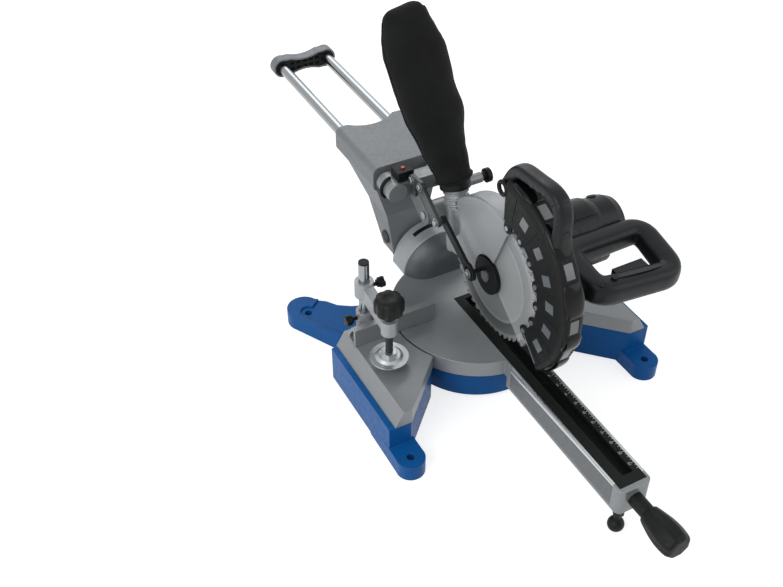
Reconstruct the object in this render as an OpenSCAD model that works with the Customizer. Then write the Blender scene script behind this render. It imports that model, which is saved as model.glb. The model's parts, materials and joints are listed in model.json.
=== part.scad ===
// Sliding compound mitre saw with a hold-down clamp and a dust bag.
// X runs to the right along the fence, Y to the rear, Z up from the bench.
// The origin is the turntable axis on the bench, the middle of the bolt pattern.

/* [Base] */
// Height of the table above the bench
table_h = 90; // [80:1:110]
// Half of the width across both tables
table_reach = 215; // [205:1:240]
// Depth of the tables in front of the fence
table_front = 145; // [130:1:160]
// Depth of the tables behind the fence face
table_back = 40; // [38:1:60]
// Height of the silver table casting
table_t = 25; // [18:1:32]
// Wall of the table and base castings
cast_wall = 5; // [3:0.5:8]
// Spacing of the bench bolts along X
bolt_span_x = 408; // [404:1:424]
// Spacing of the bench bolts along Y
bolt_span_y = 340; // [330:1:350]
// Diameter of the bench bolt holes
bolt_hole_d = 12; // [6:0.5:12]
// Radius of the round end of a rear ear
ear_r = 27; // [24:1:34]
// Radius of the round end of a front ear
toe_r = 21; // [16:1:24]
// Half of the width across the blue base walls
base_reach = 224; // [218:1:232]
// Thickness of the ears
ear_t = 26; // [15:1:30]

/* [Fence] */
// Height of the fence
fence_h = 32; // [24:1:44]
// Depth of the fence foot
fence_d = 24; // [20:1:26]
// Wall of the hollow fence
fence_wall = 5; // [3:0.5:6]
// Inner end of the left fence from the blade
fence_left_in = 70; // [68:1:90]
// Inner end of the right fence from the blade
fence_right_in = 52; // [45:1:80]

/* [Clamp] */
// Distance of the clamp post from the blade
post_x = 175; // [165:1:190]
// Distance of the clamp post behind the fence face
post_y = 24; // [23:1:26]
// Diameter of the clamp post
post_d = 16; // [12:1:18]
// Length of the clamp post
post_len = 130; // [120:1:132]
// Reach of the clamp arm from post to spindle
clamp_reach = 76; // [65:1:85]
// Height of the clamp arm boss at the post above the table
clamp_arm_z = 74; // [66:1:80]
// Drop of the spindle boss below the post boss
clamp_drop = 12; // [4:1:20]
// Height of the clamp bosses
clamp_boss_h = 25; // [20:1:30]
// Diameter of the clamp spindle
spindle_d = 11; // [8:0.5:14]
// Height of the clamp pad above the table
pad_z = 15; // [8:1:30]
// Diameter of the clamp pad
pad_d = 56; // [40:1:60]
// Diameter of the clamp knob
knob_d = 43; // [34:1:48]
// Height of the clamp knob
knob_h = 27; // [20:1:30]

/* [Turntable] */
// Radius of the turntable
turntable_r = 128; // [120:1:132]
// Thickness of the turntable
turntable_t = 26; // [22:1:30]
// Reach of the mitre arm in front of the fence
arm_len = 396; // [360:1:420]
// Width of the mitre arm
arm_w = 50; // [46:1:56]
// Height of the mitre arm
arm_h = 44; // [42:1:46]
// Width of the slotted insert
insert_w = 43; // [38:1:44]
// Thickness of the slotted insert
insert_t = 16; // [15:0.5:18]
// Depth of the kerf channel in the insert
kerf_depth = 13; // [12:0.5:14]
// Length of the mitre handle
handle_len = 88; // [80:1:110]
// Largest diameter of the mitre handle
handle_d = 41; // [34:1:46]
// Diameter of the front foot ball
foot_d = 23; // [18:1:26]
// Diameter of the turntable bolt
turn_bolt_d = 12; // [10:1:14]

/* [Bevel and rails] */
// Radius of the bevel hub
hub_r = 46; // [40:1:48]
// Front face of the bevel hub behind the fence
hub_y = 150; // [142:1:156]
// Length of the bevel hub
hub_len = 34; // [28:1:40]
// Diameter of the bevel bolt
bevel_bolt_d = 14; // [12:1:16]
// Diameter of a rail
rail_d = 18; // [16:1:20]
// Wall of a rail tube
rail_wall = 2; // [1.5:0.5:3]
// Spacing of the two rails
rail_gap = 84; // [78:1:90]
// Middle of the two rails from the blade plane
rail_x = -25; // [-30:1:-22]
// Height of the rails above the table
rail_z = 152; // [148:1:158]
// Front end of the rails behind the fence
rail_front = 126; // [124:1:132]
// Length of the rails
rail_len = 434; // [420:1:450]
// Front face of the rail carriage
carriage_y = 166; // [164:1:172]
// Length of the rail carriage
carriage_len = 130; // [115:1:135]
// Height of the rail carriage
carriage_h = 42; // [38:1:46]
// Length of a rail bush
bush_len = 28; // [20:1:35]
// Outer diameter of a rail bush
bush_d = 24; // [23:0.5:26]
// Length of the rear bracket along the rails
rear_len = 18; // [14:1:24]
// Radius of the bracket bosses round the rails
boss_r = 16; // [14:0.5:17]

/* [Head] */
// Diameter of the saw blade
blade_d = 210; // [200:1:212]
// Thickness of the saw blade
blade_t = 2.4; // [1.8:0.1:2.8]
// Teeth of the saw blade
blade_teeth = 48; // [24:4:60]
// Arbor in front of the fence face
arbor_y = -45; // [-50:1:-42]
// Arbor height above the table with the head down
arbor_z = 96; // [95:0.5:100]
// Chop pivot behind the fence face
pivot_y = 86; // [84:1:88]
// Chop pivot height above the table
pivot_z = 128; // [126:1:130]
// Diameter of the chop pivot pin
pivot_d = 12; // [10:1:14]
// Radius of the head casting hub at the pivot
pivot_hub_r = 18; // [16:1:19]
// Outer radius of the upper guard
guard_r = 118; // [116:0.5:119]
// Wall of the upper guard
guard_wall = 3; // [2:0.5:3]
// Outer radius of the front hood
hood_r = 150; // [148:1:152]
// Right face of the front hood
hood_right = 20; // [19:0.5:24]
// Wall of the front hood
hood_wall = 2.5; // [2:0.25:3]
// Radius of the scalloped inner edge of the hood
hood_edge_r = 88; // [87:0.5:90]
// Hood screws along the scalloped edge
hood_screw_n = 7; // [5:1:8]
// Wall of the clear lower guard
clear_wall = 2; // [1.5:0.25:2]
// Outer radius of the clear lower guard
clear_r = 113; // [111:0.5:114]
// Radius of the guard hub disc
guard_hub_r = 29; // [26:0.5:30]
// Crank radius of the guard rod pin
crank_r = 12; // [10:0.5:14]
// Diameter of the carry handle bar
carry_d = 24; // [22:1:28]
// Diameter of the D-handle bars
grip_d = 34; // [30:1:36]

/* [Motor] */
// Radius of the motor housing
motor_r = 44; // [42:0.5:46]
// Wall of the motor housing
motor_wall = 4; // [3:0.5:5]
// Left end of the motor housing
motor_x = 50; // [49:1:54]
// Length of the motor housing
motor_len = 145; // [140:1:155]
// Teeth of the drive gear
gear_teeth = 44; // [40:1:48]
// Teeth of the motor pinion
pinion_teeth = 10; // [9:1:12]
// Gear module
gear_mod = 1.6; // [1.5:0.05:1.7]
// Diameter of the saw spindle
arbor_d = 20; // [18:1:22]

/* [Dust bag] */
// Length of the dust bag
bag_len = 270; // [240:5:290]
// Widest half width of the dust bag
bag_r = 45; // [40:1:47]
// Outer diameter of the dust port
port_d = 34; // [30:1:36]

/* [Fits] */
// Radial running clearance of a pin, shaft or rail
run_fit = 0.05; // [0.02:0.01:0.1]
// Radial clearance of pieces that are fixed together
seat_fit = 0.05; // [0.02:0.01:0.1]
// Clearance between pieces that move past each other
move_gap = 0.3; // [0.2:0.05:0.5]

/* [Hidden] */
// Draft of moulded and cast flanks
draft = 0.2;
$fn = 72;

// Colours as seen on the saw
blue = "#1B5A9C";
silver = "#B4B8BA";
light_grey = "#9A9EA0";
dark_grey = "#565A5D";
black = "#222526";
chrome = "#D0D4D6";
steel = "#8C9092";

// Heights above the bench
arbor = [0, arbor_y, table_h + arbor_z];
pivot = [0, pivot_y, table_h + pivot_z];
rail_h = table_h + rail_z;
rail_xs = [rail_x - rail_gap / 2, rail_x + rail_gap / 2];

// Base layout
arm_clear = 6;
table_gap = 3;
ring_r = 112;
ring_w = 12;
floor_z = 8;
floor_t = 6;
foot_lift = 4;
table_chamfer = 14;
base_top = table_h - table_t;
bolt_rear = bolt_span_y / 2;
bolt_front = -bolt_span_y / 2;
ear_end = [bolt_span_x / 2 + 3, bolt_rear + 12];
ear_root = [table_reach - 84, table_back];
ear_step = 3;
ear_rim = 13;
// Rear edge of the web that joins an ear to the turntable's ring
web_edge = [for (p = [[-24, 12], [-40, 0], [-52, -17], [-71, -30], [-103, -42], [-123, -70]]) ear_end + p];

// Turntable layout
arm_bottom = table_h - arm_h;
arm_root = turntable_r + 5;
arm_corner = 9;
insert_front = arm_len - 8;
insert_back = 26;
insert_floor = table_h - insert_t;
slot_left = -6;
slot_right = 12;
slot_front = arm_len - 24;
slot_back = 18;
handle_z = table_h - 22;
handle_stub_d = 10;
handle_stub = 14;
foot_stem_d = 9;
foot_x = -14;
foot_y = -arm_len + 9;
foot_clear = 1.2;
bevel_bolt_y = 112;
dome_r = 60;

// Head layout, along X from the blade plane
flange_r = 20;
flange_t = 4;
bolt_head_d = 18;
bolt_head_x = -17;
hub_disc_x = -14.5;
clear_left = -8;
clear_right = 13;
wall_left = -12;
wall_right = 20;
nose_r = 24.9;
nose_x = 9;
case_x = motor_x;
case_wall = 3;
gear_x = 28;
gear_w = 10;
gear_r = gear_mod * gear_teeth / 2;
pinion_r = gear_mod * pinion_teeth / 2;
motor_angle = 110;
motor_axis = arbor + (gear_r + pinion_r) * [0, cos(motor_angle), sin(motor_angle)];
upper_from = -16;
upper_to = 112;
hood_left = wall_left - hood_wall - seat_fit;
hood_shift = 34;
hood_from = 88;
hood_to = 224.3;
hood_c = 9.5;
hood_right_r = 100;
hood_lobe_d = 17;
hood_boss_d = 14;
hook_r = 133;
hook_angle = 84.5;
hook_ring_r = 9;
hook_d = 6;
wing_t = 3.8;
pane_r = 116;
pane_l = 18;
pane_w = 16;
pane_fit = 0.2;
pane_angles = [111, 132, 150.5, 169.5, 190, 210.5];
rim_pane_l = 22;
rim_angles = [114, 146, 177, 199];
clear_from = 97;
clear_to = 216;

// Chop bracket layout
ear_left = [-42, -30];
ear_right = [14, 26];
hub_left = ear_left[1] + move_gap;
hub_right = 2;
boss_front = rail_front - 4;
boss_back = 161;
web_front = 127;
web_back = 151;
web_half = 12;
barrel = [22.5, 75, table_h + 174];
barrel_foot = [102, table_h + 153];
barrel_r = 8;
barrel_end = 46;
lock_d = 8;

// Guard linkage
strut_x = -47.8;
strut_t = 5.7;
strut_end = [43, 144];
strut_knee = [92, 176];
strut_root = [116, 174];
strut_tab = [112, 155];
link_pin_d = 8;
rod_x = -37;
rod_t = 5;
crank_angle = 30;
crank_d = 6;
crank_at = [arbor_y, arbor_z] + crank_r * [cos(crank_angle), sin(crank_angle)];
rod_dir = crank_at - strut_end;
rod_len = norm(rod_dir);
rod_angle = atan2(rod_dir[1], rod_dir[0]);
slot_play = 1.8;

// Bag and port
port_base = [-3, 57, table_h + 150];
port_lean = 17;
port_len = 42;
bag_side = -10;
collar_d = 46;
collar_h = 16;
bag_neck_r = collar_d / 2 - 3;

// Clamp layout
post_at = [-post_x, post_y, table_h];
spindle_at = [-post_x, post_y - clamp_reach, table_h];
post_boss_r = 13;
post_boss_h = 44;
post_screw_z = post_boss_h - 10;
arm_boss_r = 14;
tip_boss_r = 12;
screw_d = 6;
thumb_d = 16;

// Wing outline of one table, drawn in by e
module wing(s, e = 0) {
    diag = (arm_w / 2 + arm_clear + e) * sqrt(2);
    polygon([
        [s * 100, table_back - e], [s * (table_reach - e), table_back - e],
        [s * (table_reach - e), -table_front + e], [s * (table_front - e + diag), -table_front + e],
        [s * (60 + diag), -60]
    ]);
}

// Bar between two points of a plane, with round ends that stand a little proud
module link2d(p, q, w) {
    d = q - p;
    flank = w - 2 * draft;
    translate(p) rotate(atan2(d[1], d[0])) translate([0, -flank / 2]) square([norm(d), flank]);
    translate(p) circle(d = w);
    translate(q) circle(d = w);
}

// Plane outline (Y, Z) given a thickness along X
module yz(x, t) {
    translate([x, 0, 0]) rotate([90, 0, 90]) linear_extrude(t) children();
}

// Plane outline (X, Z) given a length along Y
module xz(y, len) {
    translate([0, y + len, 0]) rotate([90, 0, 0]) linear_extrude(len) children();
}

// Profile (radius, x) turned about the X axis from one angle to another
module about_x(from, to) {
    rotate([90, 0, 90]) rotate([0, 0, from]) rotate_extrude(angle = to - from) children();
}

// Cylinder along X
module rod_x(x, len, d) {
    translate([x, 0, 0]) rotate([0, 90, 0]) cylinder(h = len, d = d);
}

// Cylinder along Y
module rod_y(y, len, d) {
    translate([0, y, 0]) rotate([-90, 0, 0]) cylinder(h = len, d = d);
}

// Bar with round ends between two points in space
module bar(p, q, d) {
    hull() {
        translate(p) sphere(d = d, $fn = 32);
        translate(q) sphere(d = d, $fn = 32);
    }
}

// Part of a ring between two angles
module sector(r0, r1, from, to) {
    steps = 12;
    difference() {
        intersection() {
            circle(r = r1);
            polygon(concat([[0, 0]], [for (i = [0:steps])
                2 * r1 * [cos(from + (to - from) * i / steps), sin(from + (to - from) * i / steps)]]));
        }
        circle(r = r0);
    }
}

// Rectangle (radius, x) with its two outer corners rounded
module rim_profile(r0, r1, x0, x1, c) {
    translate([r0, x0 + draft]) square([r1 - c - r0, x1 - x0 - 2 * draft]);
    translate([r0, x0 + c]) square([r1 - draft - r0, x1 - x0 - 2 * c]);
    translate([r1 - c, x0 + c]) circle(r = c);
    translate([r1 - c, x1 - c]) circle(r = c);
}

// Toothed wheel outline with slim straight-sided teeth
module gear2d(teeth, phase) {
    pitch = gear_mod * teeth / 2;
    root = pitch - 1.1 * gear_mod;
    tip = pitch + 0.75 * gear_mod;
    step = 360 / teeth;
    flank = [[-0.27, root], [-0.12, tip], [0.12, tip], [0.27, root]];
    rotate(phase) polygon([for (i = [0:teeth - 1], k = flank)
        k[1] * [cos((i + k[0]) * step), sin((i + k[0]) * step)]]);
}

// Fluted round knob outline
module fluted2d(d, n, depth) {
    difference() {
        circle(d = d);
        for (i = [0:n - 1]) rotate(i * 360 / n) translate([d / 2 + depth, 0]) circle(d = 4 * depth, $fn = 24);
    }
}

// Screw with a pan head, its head on top
module pan_screw(d, len, head_d, head_h) {
    translate([0, 0, -len]) cylinder(h = len, d = d, $fn = 24);
    cylinder(h = head_h, d = head_d, $fn = 24);
}

module at_arbor() {
    translate(arbor) children();
}

module at_hood() {
    translate(arbor + [0, -hood_shift, hood_shift]) children();
}

module at_motor() {
    translate(motor_axis) children();
}

// Outline of a rear ear and its web
module rear_ear(s) {
    link2d([s * ear_root[0], ear_root[1]], [s * ear_end[0], ear_end[1]], 2 * ear_r);
    polygon([
        for (p = concat(web_edge, [[60, table_back - 10], [ear_root[0], table_back - 10]])) [s * p[0], p[1]]
    ]);
}

// Lower part of an ear's top, which leaves a rim along its outer edge
module ear_recess(s) {
    bolt = [bolt_span_x / 2, bolt_rear];
    far = bolt + 1.2 * (ear_root - ear_end);
    link2d([s * bolt[0], bolt[1]], [s * far[0], far[1]], 2 * ear_rim);
    polygon([
        for (p = [bolt, web_edge[1] + [10, 8], web_edge[3] + [0, 16], web_edge[5] + [0, 40], [40, table_back], far])
            [s * p[0], p[1]]
    ]);
}

// Blue base with ring, floor, walls under the tables and four bolted ears
module base_frame() {
    color(blue) difference() {
        union() {
            for (s = [-1, 1]) {
                translate([0, 0, foot_lift]) linear_extrude(base_top - foot_lift) difference() {
                    wing(s, 1);
                    wing(s, cast_wall + 1);
                    circle(r = turntable_r + table_gap);
                }
                translate([0, 0, foot_lift]) linear_extrude(base_top - foot_lift) intersection() {
                    wing(s, 1);
                    difference() {
                        circle(r = turntable_r + table_gap + cast_wall);
                        circle(r = turntable_r + table_gap);
                    }
                }
                difference() {
                    linear_extrude(ear_t) rear_ear(s);
                    translate([0, 0, ear_t - ear_step]) linear_extrude(ear_step + 1) ear_recess(s);
                }
                linear_extrude(ear_t)
                    link2d([s * (base_reach - toe_r), -90], [s * bolt_span_x / 2, bolt_front], 2 * toe_r);
                translate([s > 0 ? table_reach - cast_wall - 1 : -base_reach, 1 - table_front, foot_lift])
                    cube([
                        base_reach - table_reach + cast_wall + 1, table_front + table_back - 2,
                        base_top - foot_lift
                    ]);
            }
            translate([-table_reach + 12, -42, floor_z]) cube([2 * table_reach - 24, 84, floor_t]);
            translate([0, 0, floor_z]) cylinder(h = base_top - floor_z - 2, r = 24);
            translate([0, 0, floor_z]) difference() {
                cylinder(h = table_h - turntable_t - move_gap - floor_z, r = ring_r);
                translate([0, 0, floor_t]) cylinder(h = table_h, r = ring_r - ring_w);
            }
        }
        for (s = [-1, 1], y = [bolt_front, bolt_rear]) translate([s * bolt_span_x / 2, y, -1])
            cylinder(h = table_h, d = bolt_hole_d);
        translate([0, 0, -1]) cylinder(h = table_h, d = turn_bolt_d + 2 * seat_fit);
    }
}

// Silver table of one side, hollow below, with a sloping end
module side_table(s) {
    difference() {
        translate([0, 0, base_top]) linear_extrude(table_t) difference() {
            wing(s);
            circle(r = turntable_r + table_gap);
        }
        translate([0, 0, base_top - 1]) linear_extrude(table_t - 7) difference() {
            intersection() {
                wing(s, cast_wall);
                square([2 * (table_reach - table_chamfer - cast_wall), 4 * table_front], center = true);
            }
            circle(r = turntable_r + table_gap + cast_wall);
        }
        xz(-table_front - 1, table_front + table_back + 2) polygon([
            [s * table_reach, base_top + 2], [s * (table_reach + 1), base_top + 2],
            [s * (table_reach + 1), table_h + 1], [s * (table_reach - table_chamfer), table_h + 1]
        ]);
    }
}

module table_left() {
    color(silver) difference() {
        side_table(-1);
        translate(post_at - [0, 0, table_t]) cylinder(h = 2 * table_t, d = post_d + 2 * run_fit);
    }
}

module table_right() {
    color(silver) side_table(1);
}

// Hollow fence bar between two X values, lifted clear of the turntable
module fence_bar(x0, x1) {
    difference() {
        yz(x0, x1 - x0) translate([0, table_h]) difference() {
            polygon([[0, 0], [fence_d, 0], [fence_d, 11], [11, fence_h], [0, fence_h]]);
            polygon([
                [fence_wall, fence_wall], [fence_d - fence_wall, fence_wall],
                [fence_d - fence_wall, 10], [9, fence_h - fence_wall], [fence_wall, fence_h - fence_wall]
            ]);
        }
        translate([0, 0, table_h - 1]) cylinder(h = 1 + 2 * move_gap, r = turntable_r + table_gap + 1);
    }
}

module fence_left() {
    color(silver) difference() {
        union() {
            fence_bar(-table_reach + 12, -fence_left_in);
            translate(post_at) cylinder(h = post_boss_h, r = post_boss_r);
        }
        translate(post_at - [0, 0, 1]) cylinder(h = post_len, d = post_d + 2 * run_fit);
        translate(post_at + [0, 0, post_screw_z]) rod_x(-30, 30, screw_d + 2 * run_fit);
        fence_screw_holes(-1);
    }
}

module fence_right() {
    color(silver) difference() {
        fence_bar(fence_right_in, table_reach - 12);
        fence_screw_holes(1);
    }
}

fence_screw_y = fence_d - fence_wall - 4;
fence_screw_xs = [145, 192];
screw_fit = 0.2;

module fence_screw_holes(s) {
    for (x = fence_screw_xs) translate([s * x, fence_screw_y, table_h - 1])
        cylinder(h = fence_wall + 2, d = 5 + screw_fit, $fn = 24);
}

// Screws that hold the fence halves, standing in the hollow of the fence
module fence_screws() {
    color(steel) for (s = [-1, 1], x = fence_screw_xs)
        translate([s * x, fence_screw_y, table_h + fence_wall]) pan_screw(5, fence_wall, 7, 2.5);
}

module turntable_bolt() {
    color(steel) {
        translate([0, 0, floor_z - 7]) cylinder(h = 7, d = 22, $fn = 6);
        translate([0, 0, floor_z - 1]) cylinder(h = insert_floor - floor_z, d = turn_bolt_d);
    }
}

// Clamp post with its foot in the fence boss
module clamp_post() {
    color(chrome) translate(post_at + [0, 0, 2.2]) difference() {
        cylinder(h = post_len, d = post_d);
        translate([0, 0, post_len - 10]) cylinder(h = 11, d = post_d - 4);
    }
}

module post_cap() {
    color(black) translate(post_at + [0, 0, 2.2 + post_len]) {
        cylinder(h = 2, d = post_d - 0.6);
        translate([0, 0, -9]) cylinder(h = 9.5, d = post_d - 4 - 2 * seat_fit);
    }
}

// Thumb screw along X, its tip at x and its head on the far side
module thumb_screw(x, side) {
    rod_x(side > 0 ? x : x - 20, 20, screw_d);
    rod_x(side > 0 ? x + 12 : x - 17, 5, thumb_d - 4);
    yz(side > 0 ? x + 15 : x - 23, 8) difference() {
        circle(d = thumb_d);
        for (i = [0:2]) rotate(i * 120) translate([thumb_d / 2 + 1, 0]) circle(d = 7, $fn = 24);
    }
}

module post_screw() {
    color(black) translate(post_at + [0, 0, post_screw_z]) thumb_screw(-post_d / 2 - move_gap, -1);
}

// Cast arm from the post to the spindle
module clamp_arm() {
    color(light_grey) difference() {
        union() {
            translate(post_at + [0, 0, clamp_arm_z]) cylinder(h = clamp_boss_h, r = arm_boss_r);
            translate(spindle_at + [0, 0, clamp_arm_z - clamp_drop])
                cylinder(h = clamp_boss_h, r = tip_boss_r);
            yz(-post_x - 8, 16) translate([0, table_h + clamp_arm_z]) polygon([
                [post_y, clamp_boss_h], [post_y, 0],
                [post_y - clamp_reach, -clamp_drop], [post_y - clamp_reach, clamp_boss_h - clamp_drop]
            ]);
        }
        translate(post_at) cylinder(h = 2 * post_len, d = post_d + 2 * run_fit);
        translate(spindle_at) cylinder(h = 2 * post_len, d = spindle_d + 2 * run_fit);
        translate(post_at + [0, 0, clamp_arm_z + clamp_boss_h / 2]) rod_x(0, 30, screw_d + 2 * run_fit);
    }
}

module arm_screw() {
    color(black) translate(post_at + [0, 0, clamp_arm_z + clamp_boss_h / 2])
        thumb_screw(post_d / 2 + move_gap, 1);
}

knob_z = clamp_arm_z - clamp_drop + clamp_boss_h + 13;
pad_hub_h = 12;

// Threaded spindle, drawn at its outer diameter with turned grooves
module clamp_spindle() {
    color(black) translate(spindle_at) difference() {
        translate([0, 0, pad_z + 3]) cylinder(h = knob_z + 10 - pad_z - 3, d = spindle_d);
        for (z = [pad_z + 16:4:clamp_arm_z - clamp_drop - 6]) translate([0, 0, z]) difference() {
            cylinder(h = 1.6, d = spindle_d + 1);
            translate([0, 0, -1]) cylinder(h = 4, d = spindle_d - 1.6);
        }
    }
}

module clamp_knob() {
    color(black) translate(spindle_at + [0, 0, knob_z]) difference() {
        union() {
            linear_extrude(knob_h) fluted2d(knob_d, 10, 1.6);
            translate([0, 0, -6]) cylinder(h = 7, d = knob_d - 18);
        }
        translate([0, 0, -7]) cylinder(h = 17.2, d = spindle_d + 2 * seat_fit);
    }
}

// Zinc pad: dished disc with a hex boss round the spindle tip
module clamp_pad() {
    color(chrome) translate(spindle_at + [0, 0, pad_z]) difference() {
        union() {
            cylinder(h = 2, d = pad_d);
            cylinder(h = 5, d1 = pad_d - 10, d2 = 32);
            cylinder(h = pad_hub_h, d = 24, $fn = 6);
        }
        translate([0, 0, 2.9]) cylinder(h = pad_hub_h, d = spindle_d + 2 * run_fit);
    }
}

// Turntable disc with the mitre arm, hollow below
module turntable() {
    color(silver) difference() {
        union() {
            translate([0, 0, table_h - turntable_t]) cylinder(h = turntable_t, r = turntable_r);
            translate([0, 0, table_h - turntable_t]) linear_extrude(turntable_t) arm2d(0);
            translate([0, 0, arm_bottom]) linear_extrude(arm_h) arm2d(arm_root);
        }
        translate([-insert_w / 2 - seat_fit, -insert_front - seat_fit, insert_floor])
            cube([insert_w + 2 * seat_fit, insert_front + insert_back + 2 * seat_fit, insert_t + 1]);
        translate([-arm_w / 2 + cast_wall, -arm_len + 34, arm_bottom - 1])
            cube([arm_w - 2 * cast_wall, arm_len - arm_root - 40, arm_h - insert_t - 4]);
        translate([0, 0, table_h - turntable_t - 1]) difference() {
            cylinder(h = turntable_t - 11, r = ring_r - ring_w - 4);
            translate([0, 0, -1]) cylinder(h = turntable_t, r = 24);
            translate([0, 60, 0]) cube([60, 120, 60], center = true);
        }
        translate([0, 0, arm_bottom]) cylinder(h = arm_h, d = turn_bolt_d + 2 * run_fit);
        translate([0, 0, handle_z]) rod_y(-arm_len - 1, handle_stub + 3, handle_stub_d + 2 * run_fit);
        translate([foot_x, foot_y, arm_bottom - 1]) cylinder(h = 16, d = foot_stem_d + 2 * run_fit);
        translate([0, 0, table_h]) rod_y(bevel_bolt_y - 1, turntable_r, bevel_bolt_d + 2 * seat_fit);
    }
}

// Plan of the arm from a start distance to its rounded front
module arm2d(start) {
    c = arm_corner;
    translate([-arm_w / 2, -arm_len + c]) square([arm_w, arm_len - c - start]);
    translate([-arm_w / 2 + c, -arm_len]) square([arm_w - 2 * c, c + 1]);
    for (s = [-1, 1]) translate([s * (arm_w / 2 - c), -arm_len + c]) circle(r = c);
}

// Black insert with the kerf channel
module arm_insert() {
    color(black) difference() {
        translate([-insert_w / 2, -insert_front, insert_floor])
            cube([insert_w, insert_front + insert_back, insert_t]);
        translate([slot_left, -slot_front, table_h - kerf_depth])
            cube([slot_right - slot_left, slot_front + slot_back, kerf_depth + 1]);
    }
}

// Dark grey trunnion on the rear of the turntable, round about the bevel axis
module bevel_trunnion() {
    y0 = 84;
    y1 = hub_y - move_gap;
    lower_y = turntable_r + move_gap;
    color(dark_grey) translate([0, 0, table_h]) difference() {
        union() {
            difference() {
                rotate([-90, 60, 0]) rotate_extrude() polygon([
                    [0, y0], [28, y0], [44, y0 + 7], [dome_r - 6, y0 + 18],
                    [dome_r, y0 + 34], [dome_r, y1], [0, y1]
                ]);
                translate([-dome_r - 1, y0 - 1, -dome_r - 1])
                    cube([2 * dome_r + 2, hub_y - y0 + 2, dome_r + 1 + seat_fit]);
            }
            rod_y(lower_y, y1 - lower_y - draft, 2 * hub_r);
        }
        rod_y(bevel_bolt_y - 1, hub_y, bevel_bolt_d + 2 * seat_fit);
    }
}

// Bevel bolt through the trunnion and the column hub
module bevel_bolt() {
    color(steel) translate([0, 0, table_h]) {
        rod_y(bevel_bolt_y, hub_y + hub_len + 26 - bevel_bolt_y, bevel_bolt_d);
    }
}

// Black screw handle of the mitre lock
module mitre_handle() {
    color(black) translate([0, -arm_len - move_gap, handle_z]) rotate([90, 0, 0]) {
        rotate_extrude() polygon([
            [0, 0], [11, 0], [11, 6], [9, 10], [9, 26], [handle_d / 2 - 3, handle_len - 42],
            [handle_d / 2, handle_len - 26], [handle_d / 2, handle_len - 8],
            [handle_d / 2 - 4, handle_len], [0, handle_len]
        ]);
        translate([0, 0, -handle_stub]) cylinder(h = handle_stub + 1, d = handle_stub_d);
    }
}

// Adjustable front foot with a ball end
module front_foot() {
    color(black) translate([foot_x, foot_y, 0]) {
        translate([0, 0, foot_clear + foot_d / 2]) sphere(d = foot_d);
        translate([0, 0, foot_clear + foot_d / 2])
            cylinder(h = arm_bottom + 12 - foot_clear - foot_d / 2, d = foot_stem_d);
        translate([0, 0, arm_bottom - 12]) cylinder(h = 12 - move_gap, d = 16, $fn = 6);
    }
}

// Lever nut that locks the bevel at the rear of the hub
module bevel_lever() {
    y = hub_y + hub_len + move_gap;
    color(black) translate([0, y, table_h]) difference() {
        union() {
            rod_y(0, 20, 26);
            bar([0, 12, 0], [52, 22, 34], 14);
        }
        rod_y(-1, 30, bevel_bolt_d + 2 * run_fit);
    }
}

// Cross-section of the rail carriage with rounded sides
module carriage2d() {
    half = rail_gap / 2 + bush_d / 2 + 7;
    c = 10;
    translate([rail_x, rail_h - carriage_h / 2 + 2]) {
        translate([-half + c, 0]) square([2 * half - 2 * c, carriage_h]);
        translate([-half, c]) square([2 * half, carriage_h - 2 * c]);
        for (s = [-1, 1], z = [c, carriage_h - c]) translate([s * (half - c), z]) circle(r = c);
    }
}

// Light grey column from the bevel hub to the rail carriage
module bevel_column() {
    waist_y = carriage_y + 4;
    low = rail_h - carriage_h / 2 + 3;
    color(light_grey) difference() {
        union() {
            translate([0, 0, table_h]) rod_y(hub_y, hub_len, 2 * hub_r);
            xz(carriage_y, carriage_len) carriage2d();
            hull() {
                translate([flank_x, hub_y, table_h + 14]) cube([hub_r - 8 - flank_x, hub_len, 8]);
                translate([rail_x - 38, waist_y - 4, table_h + 78]) cube([76, 62, 2]);
            }
            hull() {
                translate([rail_x - 38, waist_y - 4, table_h + 78]) cube([76, 62, 2]);
                translate([rail_x - rail_gap / 2 - 12, carriage_y + 6, low])
                    cube([rail_gap + 24, carriage_len - 22, 4]);
            }
            translate([plug_x, plug_y, plug_z]) rod_x(0, 30, plug_d + 8);
        }
        translate([0, 0, table_h]) rod_y(hub_y - 1, hub_len + 2, bevel_bolt_d + 2 * run_fit);
        for (x = rail_xs) translate([x, 0, rail_h]) {
            rod_y(carriage_y - 1, carriage_len + 2, rail_d + 2);
            rod_y(carriage_y - 1, bush_len + 1, bush_d + 2 * seat_fit);
            rod_y(carriage_y + carriage_len - bush_len, bush_len + 1, bush_d + 2 * seat_fit);
        }
        translate([rail_x, carriage_y + carriage_len + 42, rail_h - carriage_h])
            cylinder(h = 2 * carriage_h, r = 58);
        translate([plug_x, plug_y, plug_z]) rod_x(-1, 9, plug_d + 2 * seat_fit);
        translate([rail_xs[1], slide_knob_y, rail_h]) rod_x(0, 40, screw_d + 2 * run_fit);
    }
}

flank_x = -60;
plug_x = flank_x - 2;
plug_y = 171;
plug_z = table_h + 36;
plug_d = 18;
slide_knob_y = carriage_y + carriage_len / 2 - 6;

// Four plain bushes that carry the rails
module rail_bushes() {
    color(steel) for (x = rail_xs, y = [carriage_y, carriage_y + carriage_len - bush_len])
        translate([x, 0, rail_h]) difference() {
            rod_y(y, bush_len, bush_d);
            rod_y(y - 1, bush_len + 2, rail_d + 2 * run_fit);
        }
}

module column_plug() {
    color(black) translate([plug_x, plug_y, plug_z]) {
        rod_x(-1.5, 1.5, plug_d + 4);
        rod_x(-1, 8, plug_d);
    }
}

// Knob that locks the slide, on the right of the carriage
module slide_knob() {
    side = rail_x + rail_gap / 2 + bush_d / 2 + 7;
    color(black) translate([0, slide_knob_y, rail_h]) {
        rod_x(rail_xs[1] + rail_d / 2 + move_gap, side - rail_xs[1], screw_d);
        yz(side + move_gap + 4, 16) fluted2d(30, 8, 1.4);
        rod_x(side + move_gap, 5, 16);
    }
}

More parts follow.
